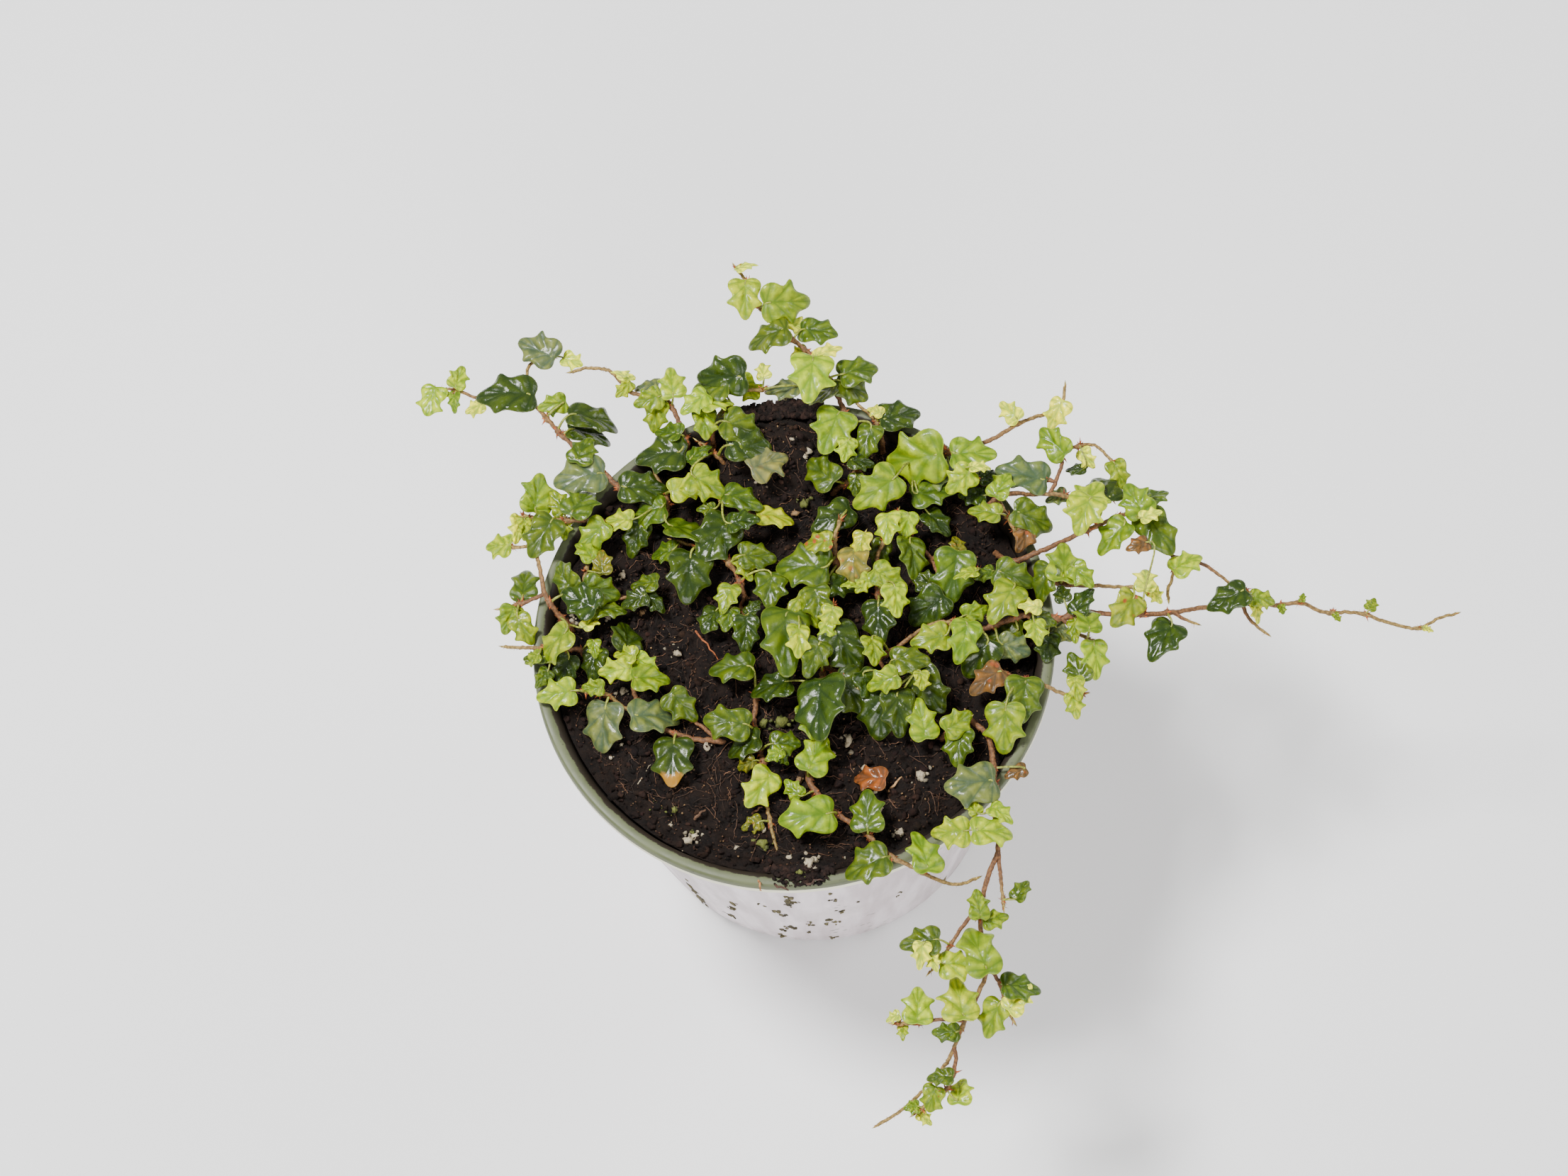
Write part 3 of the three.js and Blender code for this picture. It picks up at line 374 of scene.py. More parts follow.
            [[53, 37, -10], [56.5, 38.5, 3], [61, 42.5, 7.5], [66, 43.5, 6.5], [70, 43, 4.5], [76, 43, 4],
             [83, 42, 4], [89, 43, 4], [94, 41, 4]],
            [[76, 43, 4], [78, 47, 5], [80, 52, 6], [80.5, 56, 6], [84, 58, 5], [90, 58.5, 5], [95, 53, 4]],
            [[78, 47, 5], [74, 48, 4], [71, 48.5, 4]],
        ],
        "leaves": [
            [75, 47.5, 6, 165, 15, "grey"], [94, 41, 6, 110, 12, "deep"], [87, 51, 4, 170, 6.5, "deep"],
            [81, 56, 8, 130, 11, "light"], [81, 43, 1, 200, 6.5, "grey"], [95.5, 53, 5, 290, 8.5, "light"],
            [86, 57, 6, 300, 6.5, "pale"],
        ],
    },
    "runner_right_thin": {
        "stems": [
            [[63, 13, -10], [67, 13.5, 1.5], [70, 14, 2.5], [75, 14.5, 4], [80, 14, 4], [86, 13.5, 3],
             [92, 13, 2], [100, 12.5, 1], [103, 12, 1]],
        ],
        "leaves": [
            [79, 16, 8, 85, 13, "light"], [82, 20, 11, -50, 8.5, "light"],
            [99.5, 10, 0, 235, 11, "spotted"], [102.5, 12, 3, 85, 9, "pale"],
            [104, 12, 0, -50, 5.5, "pale"], [75, 20, 4, 250, 11, "mid"],
        ],
    },
    "runner_right": {
        "stems": [
            [[50, -1, -10], [55, 0.5, 1], [62, 3, 3], [67, 4.5, 4], [73, 4, 4], [78, 3.5, 4], [84, 5, 4],
             [92, 4.5, 2], [100, 4, 0], [110, 4.5, -4], [120, 6, -8], [130, 6.5, -11], [140, 6, -14],
             [147, 6.5, -16], [153, 3.5, -19], [163, 3, -22], [168, 1, -23], [175, -1.5, -25],
             [180, -2, -26], [186, 1, -27], [190, 2, -28]],
            [[110, 4.5, -4], [113, 2.5, -5], [116, 1, -6]],
            [[130, 6.5, -11], [132, 1.5, -13], [136, -2.5, -15]],
            [[78, 3.5, 4], [82, -1, 3], [87, -4, 3]],
        ],
        "leaves": [
            [104, 27, 12, 200, 6.5, "dead"], [82, 5, 8, 60, 9.5, "deep"], [86, 0, 10, 95, 11, "light"],
            [82, 3, 5, 265, 7.5, "light"], [70, 5, 5, -20, 7.5, "mid"], [76, 1, 2, -40, 6.5, "grey"],
            [70, 3, 11, 280, 7.5, "lime"], [72, 7, 11, 170, 6.5, "pale"], [110, 1, -2, 235, 13, "deep"],
            [87, -4, 5, 275, 11, "lime"], [66, 0, 3, 185, 11, "mid"], [60, -4, 4, -15, 9.5, "grey"],
            [74, -1, 0, 265, 8.5, "deep"], [79, 9, 6, 100, 6.5, "deep"], [147, 7, -15, 75, 3, "light"],
            [156, 3, -19, -60, 3, "light"], [166, 4, -21, 60, 4.5, "light"], [141, 6, -14, 290, 3, "light"],
            [181, -2, -26, -20, 3, "pale"],
        ],
    },
    "shoot_right": {
        "stems": [
            [[40, 19, -10], [41, 23, -1], [46, 24, 2], [52, 20, 4], [58, 18, 4], [64, 15, 4]],
            [[41, 23, -1], [38, 27, 1], [35, 30, 2]],
            [[41, 23, -1], [43, 17, 0], [44, 12, 1]],
        ],
        "leaves": [
            [48.5, 25, 5, 260, 15, "mid"], [54, 19, 11, 190, 7, "lime"], [49, 25, 2, 100, 6.5, "olive"],
            [60, 19, 5, -20, 12, "mid"], [65, 14, 9, 235, 13, "light"], [59, 19, 7, 200, 6.5, "mid"],
            [44, 11, 4, 215, 13, "deep"], [34.5, 29.5, 6, 280, 12, "mid"], [42, 14, 3, 150, 8.5, "deep"],
        ],
    },
    "shoot_centre_right": {
        "stems": [
            [[24, 3, -10], [25, 10, 1], [25, 17, 4], [25, 24, 4], [28, 31, 4], [31, 38, 4]],
        ],
        "leaves": [
            [25, 10, 6, 270, 13, "deep"], [24, 20, 10, -30, 11, "light"], [30, 15, 12, 275, 9.5, "lime"],
            [28, 38, 9, 270, 9.5, "lime"], [34.5, 38, 8, 260, 8.5, "lime"], [23, 18, 8, 225, 6.5, "lime"],
            [27, 29, 4, 250, 8.5, "mid"],
        ],
    },
    "shoot_front_right": {
        "stems": [
            [[21, -11, -10], [25, -8, -1], [31, -4, 2], [36, 0, 3], [42, 3, 4], [47, 3, 5]],
            [[25, -8, -1], [28, -14, 2], [32, -20, 2], [36, -26, 1], [40, -30, 0]],
        ],
        "leaves": [
            [30, -13, 9, 200, 9.5, "light"], [29, -8, 8, 0, 11, "mid"], [23, -1, 10, 280, 8.5, "light"],
            [36, -12, 5, 300, 14, "deep"], [30, -18, 5, 275, 13, "deep"], [26, -18, 4, 262, 14, "deep"],
            [38, -32, 3, 100, 12, "light"], [45, -1, 6, 190, 11, "light"], [51, 3, 10, 255, 12, "light"],
            [50, 5, 8, 20, 8.5, "light"], [57, -3, 6, 230, 13, "deep"], [37, -12, 9, 275, 5.5, "lime"],
            [20, -12, 6, 300, 11, "deep"],
        ],
    },
    "runner_front_right": {
        "stems": [
            [[45, -25, -10], [49, -26, -3], [53, -29, -1], [56, -33, 0], [57, -41, 2], [57, -50, 4],
             [57.5, -58, 3], [57.5, -66, 0], [55, -72, -2], [53, -79, -5], [52, -88, -9],
             [53.5, -99, -14], [50.5, -107, -18], [47, -114, -23], [44, -121, -29], [42, -125, -33],
             [38, -130, -38], [33, -135, -43], [28, -139, -46], [23, -142, -49]],
            [[57.5, -66, 0], [58, -74, -3], [58.5, -82, -5]],
            [[53, -82, -6], [50, -84, -7], [46, -89, -9], [42, -95, -11], [38, -100, -13]],
            [[53.5, -99, -14], [57, -104, -16], [58, -110, -18], [60, -114, -20]],
            [[47, -114, -23], [41, -113.5, -24], [34, -114.5, -25], [28, -114.5, -26]],
            [[44, -121, -29], [44, -126, -32], [42, -132, -36], [37, -136, -39], [33, -139, -41]],
        ],
        "leaves": [
            [57, -45, 6, 190, 14, "grey"], [66, -42, 2, 200, 6.5, "dead"], [52, -55, 5, 120, 6, "lime"],
            [56, -53, 6, -35, 7.5, "lime"], [49, -60, 5, 178, 11, "lime"], [51, -60, 3, 0, 11.5, "lime"],
            [52, -85, -4, 95, 8.5, "light"], [53, -86, -6, 15, 7.5, "light"],
            [53.5, -100, -11, 110, 15, "light"], [62, -80, -3, 60, 6.5, "mid"],
            [40, -91, -7, 185, 11, "mid"], [36, -92, -5, 262, 7.5, "pale"], [38, -95, -8, 285, 5.5, "pale"],
            [41, -98, -9, 0, 11, "lime"], [46.5, -113, -19, 98, 13, "lime"],
            [34, -114, -22, 88, 11, "lime"], [29, -112, -24, 200, 4.5, "pale"],
            [30, -115, -26, 268, 4.5, "lime"], [45, -117, -24, 180, 7.5, "mid"],
            [58, -104, -13, -5, 11, "mid"], [59, -111, -16, 50, 9.5, "pale"],
            [56.5, -109, -19, 245, 11, "light"], [43, -129, -33, 180, 7.5, "mid"],
            [38.5, -132, -36, 252, 7.5, "light"], [34, -137, -40, 190, 4.5, "light"],
            [34, -139, -41, -40, 5, "pale"], [44.5, -136, -36, 80, 8.5, "lime"],
        ],
    },
    "shoot_front_right_edge": {
        "stems": [
            [[52, -15, -10], [56, -13, -2], [60, -13, 1], [65, -15, 3], [72, -17, 4], [78, -20, 3],
             [83, -20, 2]],
        ],
        "leaves": [
            [67, -15, 7, 262, 13, "mid"], [61, -23, 5, 265, 14, "light"], [83, -16, 4, 110, 9.5, "mid"],
            [81, -15, 8, 280, 6.5, "lime"], [80, -20, 3, 282, 7.5, "lime"], [60, -12, 3, 215, 11, "dead"],
        ],
    },
    "shoot_front_right_low": {
        "stems": [
            [[42, -37, -10], [43, -32, -3], [46, -30, 0], [50, -27, 2]],
        ],
        "leaves": [
            [44, -30, 5, 35, 9.5, "light"], [48, -30, 3, 262, 11, "mid"],
        ],
    },
}

# Dead leaves that lie loose on the soil: [x, y, height, heading, length, tone].
LOOSE_LEAVES = {
    "dead_leaf_back": [-12, 54, 5.5, 30, 13, "straw"],
    "dead_leaf_front": [26, -44, -3.5, 170, 10, "rust"],
}

# Grains on the soil: [x, y, size, colour].
GRAINS = [
    [-3, 76, 2.6, "white"], [-0.5, 75, 2.2, "white"], [-1.5, 77.5, 2.4, "white"], [0, 63, 1.6, "white"],
    [5, 59, 2.2, "white"], [4, 57, 1.8, "white"], [-3, 51.5, 1.5, "tan"], [-9.5, 50, 3, "white"],
    [3.5, 41.5, 2.8, "green"], [1, 38.5, 2.5, "tan"], [-33.5, -5, 2.5, "white"], [-50, 20, 2, "white"],
    [-64.5, 5.5, 2.5, "white"], [-44, 8, 1.5, "tan"], [-54, 7, 2, "white"], [-49, -16.5, 2.5, "white"],
    [-52, -36.5, 1.1, "white"], [-51, -29.5, 2, "green"], [-49, -32.5, 1.1, "white"],
    [-38.5, -51, 1.6, "green"],
    [-33.5, -52.5, 2, "green"], [-34.5, -57, 1.1, "white"], [-29.5, -61.5, 2.6, "white"],
    [-27.5, -60.5, 2.2, "white"], [-28.5, -59.5, 1.6, "green"], [-24.5, -34, 2.5, "white"],
    [-8, -27, 2.6, "green"], [-3, -27, 3.4, "green"], [2, -44.5, 2, "tan"], [11.5, -36.5, 1.5, "white"],
    [16, -33, 3, "white"], [20.5, -41, 2, "white"], [23.5, -48, 1.5, "white"], [25, -53, 1.5, "white"],
    [30, -60.5, 2.5, "white"], [36.5, -43.5, 3, "white"], [-8.5, -63, 2.8, "green"], [-16, -64, 1.1, "white"],
    [-8, -59, 1.5, "white"], [4.4, -69, 3.2, "white"], [6, -68, 2.4, "white"], [5, -70, 1.6, "white"],
    [2, -71, 2, "green"], [14.5, -67.5, 1.1, "white"], [-1, -67, 1.5, "white"],
]
GRAIN_COLOURS = {"white": (184, 170, 142), "green": (104, 110, 44), "tan": (140, 108, 70)}

# Bits on the rim and root threads: [[x, y] from, [x, y] to, thickness, colour].
THREADS = [
    [[-28, 2], [-21.5, -7], 0.5, (150, 84, 44)],
    [[-44, -44.5], [-40, -38.5], 0.25, (190, 180, 150)],
    [[27.5, -48], [31, -44], 0.6, (170, 134, 92)],
    [[-27.5, -55], [-24.5, -52.5], 0.7, (96, 70, 50)],
    [[-11.5, -54], [-8.5, -52], 0.6, (110, 78, 52)],
    [[-9.5, -73.5], [-8.8, -77], 0.5, (160, 110, 66)],
    [[-5, -75], [-1, -76.5], 0.6, (70, 48, 36)],
    [[4, -75], [8.5, -73.5], 0.6, (60, 40, 30)],
]

# Dirt clings to the front of the pot in runs: [x, y] from, [x, y] to, how many specks, spread, size.
SPECK_RUNS = [
    [[-2, -79], [-1, -91], 11, 1.4, 1.5],
    [[4, -83], [4, -88], 4, 0.8, 1.2],
    [[12, -80], [11, -90], 7, 1.2, 1.4],
    [[-16, -79], [-18, -83], 6, 1.3, 1.4],
    [[-33, -71], [-25, -79], 9, 0.8, 1.8],
    [[45, -71], [39, -80], 4, 0.9, 1.4],
    [[-24, -82], [32, -80], 9, 2.6, 0.8],
]


# ---------- colours ----------
def linear(colour):
    """An sRGB colour of 0 to 255 as the linear values that a shader uses."""
    share = np.asarray(colour, float) / 255
    return np.where(share <= 0.04045, share / 12.92, ((share + 0.055) / 1.055) ** 2.4)


def rgba(colour):
    return (*linear(colour), 1.0)


# ---------- small geometry tools ----------
def place(mark, height):
    """The point over a mark on the rim plane, at a height above it."""
    start = np.array([mark[0], mark[1], 0.0])
    point = start + (FAR_POINT - start) * (height / FAR_POINT[2])
    point[2] += POT_HEIGHT
    return point


def unit(vector):
    return vector / max(np.linalg.norm(vector), 1e-9)


def spline_point(a, b, c, d, t):
    """A place between b and c, a share t of the way, on the smooth line through all four."""
    return 0.5 * (2 * b + (c - a) * t + (2 * a - 5 * b + 4 * c - d) * t**2 + (3 * b - a - 3 * c + d) * t**3)


def catmull_rom(points, spacing):
    """A smooth line through the points, with a point about every spacing."""
    points = np.asarray(points, float)
    padded = np.vstack([2 * points[0] - points[1], points, 2 * points[-1] - points[-2]])
    line = []
    for a, b, c, d in zip(padded, padded[1:], padded[2:], padded[3:]):
        steps = max(2, round(np.linalg.norm(c - b) / spacing))
        for t in np.arange(steps) / steps:
            line.append(spline_point(a, b, c, d, t))
    line.append(points[-1])
    return np.array(line)


class Gather:
    """Collects many small shapes into one mesh, with a value of each kind at every vertex."""

    def __init__(self, **defaults):
        self.defaults = defaults
        self.points = []
        self.faces = []
        self.values = {name: [] for name in defaults}
        self.count = 0

    def add(self, points, faces, **values):
        self.points.append(np.asarray(points, float))
        self.faces.extend([tuple(int(i) + self.count for i in face) for face in faces])
        size = len(points)
        for name, default in self.defaults.items():
            value = np.asarray(values.get(name, default), float)
            width = np.asarray(default).shape
            self.values[name].append(np.broadcast_to(value, (size, *width)))
        self.count += size

    def piece(self, name, material, slot, nodes=()):
        mesh = bpy.data.meshes.new(name)
        mesh.from_pydata((np.vstack(self.points) * MM).tolist(), [], self.faces)
        for key, parts in self.values.items():
            store_values(mesh, key, np.concatenate(parts))
        mesh.polygons.foreach_set("use_smooth", [True] * len(mesh.polygons))
        return finished(mesh, name, [material], nodes)


def store_values(mesh, name, values):
    """Puts one value per vertex on a mesh: a number, a colour, or a place on the leaf as a UV map."""
    if name == "leaf":
        corners = np.zeros(len(mesh.loops), np.int32)
        mesh.loops.foreach_get("vertex_index", corners)
        mesh.uv_layers.new(name=name).data.foreach_set("uv", values[corners].astype(np.float32).ravel())
    elif values.ndim == 2:
        colours = np.ones((len(values), 4), np.float32)
        colours[:, :3] = values
        mesh.attributes.new(name, "FLOAT_COLOR", "POINT").data.foreach_set("color", colours.ravel())
    else:
        mesh.attributes.new(name, "FLOAT", "POINT").data.foreach_set("value", values.astype(np.float32))


def finished(mesh, name, materials, nodes):
    """Makes a mesh a piece of the object, which stands for the CAD nodes given."""
    for material in materials:
        mesh.materials.append(material)
    mesh.validate()
    piece = bpy.data.objects.new(name, mesh)
    bpy.context.scene.collection.objects.link(piece)
    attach(piece, "root")
    if nodes:
        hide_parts(*nodes)
    return piece


def tube(line, radii, sides):
    """A round tube along a line, closed at both ends."""
    line = np.asarray(line, float)
    ahead = np.gradient(line, axis=0)
    side = unit(np.cross(ahead[0], [0.31, 0.17, 0.93]))
    angles = np.arange(sides) * 2 * math.pi / sides
    points = []
    for centre, direction, radius in zip(line, ahead, radii):
        direction = unit(direction)
        side = unit(side - direction * side.dot(direction))
        other = np.cross(direction, side)
        points.append(centre + radius * (np.outer(np.cos(angles), side) + np.outer(np.sin(angles), other)))
    points = np.vstack([*points, line[0] - unit(ahead[0]) * radii[0], line[-1] + unit(ahead[-1]) * radii[-1]])
    count = len(line)
    faces = []
    for ring in range(count - 1):
        for i in range(sides):
            j = (i + 1) % sides
            faces.append((ring * sides + i, ring * sides + j, (ring + 1) * sides + j, (ring + 1) * sides + i))
    start = count * sides
    last = (count - 1) * sides
    for i in range(sides):
        j = (i + 1) % sides
        faces.append((start, j, i))
        faces.append((start + 1, last + i, last + j))
    return points, faces


def spike(base, direction, length, radius, bend):
    """A bristle or a pointed scale: three sides that meet in a tip."""
    direction = unit(direction)
    side = unit(np.cross(direction, [0.2, 0.3, 0.93]))
    other = np.cross(direction, side)
    middle = base + direction * length * 0.5
    tip = base + direction * length + bend
    ring = [(math.cos(a), math.sin(a)) for a in (0, 2 * math.pi / 3, 4 * math.pi / 3)]
    points = [base + radius * (c * side + s * other) for c, s in ring]
    points += [middle + bend * 0.3 + 0.7 * radius * (c * side + s * other) for c, s in ring]
    points.append(tip)
    faces = [(2, 1, 0), (0, 1, 4, 3), (1, 2, 5, 4), (2, 0, 3, 5), (3, 4, 6), (4, 5, 6), (5, 3, 6)]
    return points, faces


def icosahedron():
    golden = (1 + math.sqrt(5)) / 2
    points = [(-1, golden, 0), (1, golden, 0), (-1, -golden, 0), (1, -golden, 0)]
    points += [(0, -1, golden), (0, 1, golden), (0, -1, -golden), (0, 1, -golden)]
    points += [(golden, 0, -1), (golden, 0, 1), (-golden, 0, -1), (-golden, 0, 1)]
    faces = [(0, 11, 5), (0, 5, 1), (0, 1, 7), (0, 7, 10), (0, 10, 11), (1, 5, 9), (5, 11, 4), (11, 10, 2)]
    faces += [(10, 7, 6), (7, 1, 8), (3, 9, 4), (3, 4, 2), (3, 2, 6), (3, 6, 8), (3, 8, 9), (4, 9, 5)]
    faces += [(2, 4, 11), (6, 2, 10), (8, 6, 7), (9, 8, 1)]
    return np.array(points) / math.hypot(1, golden), faces


def split_faces(points, faces):
    """Each triangle of a ball split in four."""
    points = [tuple(p) for p in points]
    middles = {}

    def middle(a, b):
        key = (min(a, b), max(a, b))
        if key not in middles:
            points.append(tuple(unit(np.add(points[a], points[b]))))
            middles[key] = len(points) - 1
        return middles[key]

    smaller = []
    for a, b, c in faces:
        ab, bc, ca = middle(a, b), middle(b, c), middle(c, a)
        smaller += [(a, ab, ca), (b, bc, ab), (c, ca, bc), (ab, bc, ca)]
    return np.array(points), smaller


CRUMB = icosahedron()
PEBBLE = split_faces(*CRUMB)


def lump(shape, centre, size, squash, rng):
    """A rough grain made from a ball: bumpy, turned at random and flattened."""
    points, faces = shape
    rough = 1 + rng.uniform(-0.42, 0.36, len(points))
    turned = (points * rough[:, None] * [1, rng.uniform(0.6, 1), squash]) @ random_turn(rng)
    return centre + turned * size / 2, faces


def random_turn(rng):
    turn = Matrix.Rotation(rng.uniform(0, 2 * math.pi), 3, Vector(rng.normal(size=3)))
    return np.array(turn)


# ---------- the surfaces that things rest on ----------
def wall_radius(z):
    """Inside radius of the pot's wall at a height."""
    share = (z - FLOOR) / (POT_HEIGHT - FLOOR)
    return (BASE_RADIUS - WALL) * (1 - share) + WALL_TOP_RADIUS * share


def soil_height(x, y):
    """Height of the soil's surface: heaped at the back, and up to the rim at the front."""
    heap = 8.4 * math.exp(-(((x + 5) / 17) ** 2) - ((y - 61) / 13) ** 2)
    spill = 6.2 * math.exp(-(((x - 3) / 7.5) ** 2) - ((y + 69) / 6) ** 2)
    swell = 1.1 * noise.noise(Vector((x, y, 3.0)) / 17) + 1.3 * noise.noise(Vector((x, y, 9.0)) / 6.5)
    return SOIL_TOP + 0.8 + heap + spill + swell


def on_soil(mark):
    """The point of the soil that shows at a mark on the rim plane."""
    height = SOIL_TOP - POT_HEIGHT
    for _ in range(4):
        point = place(mark, height)
        height = soil_height(point[0], point[1]) - POT_HEIGHT
    return place(mark, height)


def on_wall(mark):
    """The point of the pot's outside wall that shows at a mark in front of the rim, and its direction out."""
    for height in np.arange(-RIM_DROP, 3 - POT_HEIGHT, -0.2):
        point = place(mark, height)
        out = math.hypot(point[0], point[1])
        if out <= wall_radius(point[2]) + WALL:
            return point, np.array([point[0] / out, point[1] / out, 0.0])
    return None, None


# ---------- leaves ----------
def half_outline(lobes, lobe_place, width):
    """One side of a leaf of length 1, from the notch at its petiole to its tip, as (along, aside)."""
    waist = 0.34 - 0.10 * lobes
    reach = 0.42 + 0.06 * lobes
    neck = 0.24 - 0.075 * lobes
    points = [
        (0.0, 0.0),
        (-0.055, 0.06),
        (-0.10, 0.17),
        (-0.075, 0.28),
        (0.02, 0.375),
        (0.14, 0.40),
        (0.27, 0.375),
        (lobe_place - 0.19, waist),
        (lobe_place - 0.09, waist + 0.035),
        (lobe_place - 0.025, reach - 0.012),
        (lobe_place + 0.02, reach - 0.004),
        (lobe_place + 0.055, reach - 0.05),
        (lobe_place + 0.085, neck + 0.035),
        (lobe_place + 0.17, neck - 0.01),
        (0.875, 0.155 - 0.02 * lobes),
        (0.965, 0.085),
    ]
    return [(along, aside * width) for along, aside in points]


OUTLINE_STEPS = 6  # spline steps between two corners
CORNER_WOBBLE = 0.011
ROUNDING = 2  # passes of smoothing that blunt the lobes
OUTLINE_GROWTH = 1.03  # makes up for what the smoothing takes off


def leaf_outline(lobes, rng):
    lobe_place = rng.uniform(0.50, 0.63)
    width = rng.uniform(0.92, 1.12)
    right = half_outline(lobes, lobe_place, width * rng.uniform(0.9, 1.1))
    left = half_outline(lobes, lobe_place + rng.uniform(-0.05, 0.05), width * rng.uniform(0.9, 1.1))
    corners = [(along, -aside) for along, aside in right] + [(1.0, 0.0)] + left[:0:-1]
    corners = np.array(corners)
    corners[1:] += rng.normal(0, CORNER_WOBBLE, corners[1:].shape)
    closed = np.vstack([corners[-1], corners, corners[0], corners[1]])
    fine = []
    for a, b, c, d in zip(closed, closed[1:], closed[2:], closed[3:]):
        for t in np.arange(OUTLINE_STEPS) / OUTLINE_STEPS:
            fine.append(spline_point(a, b, c, d, t))
    fine = np.array(fine)
    lengths = np.r_[0, np.cumsum(np.linalg.norm(np.diff(fine, axis=0, append=fine[:1]), axis=1))]
    wanted = np.arange(LEAF_AROUND) / LEAF_AROUND * lengths[-1]
    looped = np.vstack([fine, fine[:1]])
    outline = np.column_stack([np.interp(wanted, lengths, looped[:, i]) for i in (0, 1)])
    for _ in range(ROUNDING):
        outline = 0.5 * outline + 0.25 * (np.roll(outline, 1, axis=0) + np.roll(outline, -1, axis=0))
    return outline * OUTLINE_GROWTH


def vein_distance(flat):
    """Distance of each place on a leaf of length 1 from its nearest main vein."""
    spot = np.column_stack([flat[:, 0], np.abs(flat[:, 1])])
    nearest = np.full(len(spot), 9.0)
    for start, end in VEINS:
        run = np.subtract(end, start)
        share = np.clip((spot - start) @ run / run.dot(run), 0, 1)
        nearest = np.minimum(nearest, np.linalg.norm(spot - start - share[:, None] * run, axis=1))
    return nearest


def ease(value, low, high):
    share = np.clip((value - low) / (high - low), 0, 1)
    return share * share * (3 - 2 * share)


# Heights on a leaf of length 1.
QUILT = 0.036  # swelling between the main veins
PUCKER = 0.011  # finer unevenness
EDGE_ROLL = 0.03
RIPPLE = 0.035


def leaf_shape(length, lobes, curl, rng):
    """A leaf of a length in its own frame: points, faces, places on the leaf, share out to the edge, side."""
    outline = leaf_outline(lobes, rng)
    middle = np.array([LEAF_MIDDLE, 0.0])
    flat = [middle[None, :]]
    share = [np.zeros(1)]
    for ring in LEAF_RINGS:
        flat.append(middle + ring * (outline - middle))
        share.append(np.full(LEAF_AROUND, ring))
    flat = np.vstack(flat)
    share = np.concatenate(share)

    along, aside = flat[:, 0], flat[:, 1]
    quilt = QUILT * ease(vein_distance(flat), 0.0, 0.12) * (1 - ease(share, 0.76, 1.0))
    wave = rng.uniform(0, 6.28, 3)
    pucker = PUCKER * np.sin(13 * along + wave[0]) * np.sin(15 * aside + wave[1]) * (1 - share**4)
    droop = -rng.uniform(0.05, 0.45) * (along - 0.3) ** 2
    cup = rng.uniform(-0.35, 0.55) * curl
    fold = rng.uniform(0.0, 0.14)
    edge_roll = -EDGE_ROLL * ease(share, 0.86, 1.0)
    ripple = RIPPLE * curl * share**3 * np.sin(3 * np.arctan2(aside, along - LEAF_MIDDLE) + wave[2])
    rise = quilt + pucker + droop - cup * aside**2 + fold * np.sqrt(aside**2 + 0.004) + edge_roll + ripple
    top = np.column_stack([flat, rise]) * length

    thickness = LEAF_THICKNESS * (1 - 0.55 * share**3)
    under = top - np.column_stack([np.zeros_like(flat), thickness])
    count = len(flat)
    faces = []
    for i in range(LEAF_AROUND):
        j = (i + 1) % LEAF_AROUND
        faces.append((0, 1 + i, 1 + j))
        faces.append((count, count + 1 + j, count + 1 + i))
        for ring in range(len(LEAF_RINGS) - 1):
            inner = 1 + ring * LEAF_AROUND
            outer = inner + LEAF_AROUND
            faces.append((inner + i, outer + i, outer + j, inner + j))
            faces.append((count + inner + i, count + inner + j, count + outer + j, count + outer + i))
        edge = 1 + (len(LEAF_RINGS) - 1) * LEAF_AROUND
        faces.append((edge + i, count + edge + i, count + edge + j, edge + j))
    points = np.vstack([top, under])
    return {
        "points": points,
        "faces": faces,
        "leaf": np.vstack([flat, flat]),
        "edge": np.concatenate([share, share]),
        "under": np.concatenate([np.zeros(count), np.ones(count)]),
        "top_count": count,
    }


def leaf_frame(heading, pitch, roll):
    """Unit vectors ahead, to the left and up of a leaf."""
    turn = Matrix.Rotation(math.radians(heading), 3, "Z")
    tilt = Matrix.Rotation(math.radians(pitch), 3, "Y") @ Matrix.Rotation(math.radians(roll), 3, "X")
    return np.array(turn @ tilt).T


def top_faces(shape):
    return [face for face in shape["faces"] if max(face) < shape["top_count"]]


class Obstacles:
    """The stems, as surfaces that a leaf keeps clear of. Leaves aren't tested against each other."""

    def __init__(self):
        self.trees = []

    def add(self, points, faces):
        tree = BVHTree.FromPolygons([Vector(p) for p in points], faces)
        self.trees.append((points.min(0), points.max(0), tree))

    def clear(self, points, faces):
        low = points.min(0)
        high = points.max(0)
        tree = None
        for other_low, other_high, other_tree in self.trees:
            if (low > other_high).any() or (other_low > high).any():
                continue
            if tree is None:
                tree = BVHTree.FromPolygons([Vector(p) for p in points], faces)
            if tree.overlap(other_tree):
                return False
        return True


CLEARANCE = 0.4


def above_soil_and_rim(points):
    """Whether the last LEAF_AROUND of the points are over the soil and the rim."""
    for x, y, z in points[-LEAF_AROUND:]:
        out = math.hypot(x, y)
        if out < WALL_TOP_RADIUS and z < soil_height(x, y) + CLEARANCE:
            return False
        if WALL_TOP_RADIUS <= out < RIM_RADIUS + 1 and z < POT_HEIGHT + CLEARANCE:
            return False
    return True


# Heights tried for a leaf, added to its own; the last is kept if none is clear.
LIFTS = (0, 0.7, -0.7, 1.4, 2.1, 2.8, 3.5, 4.2, 5.0, 5.8, 6.6)


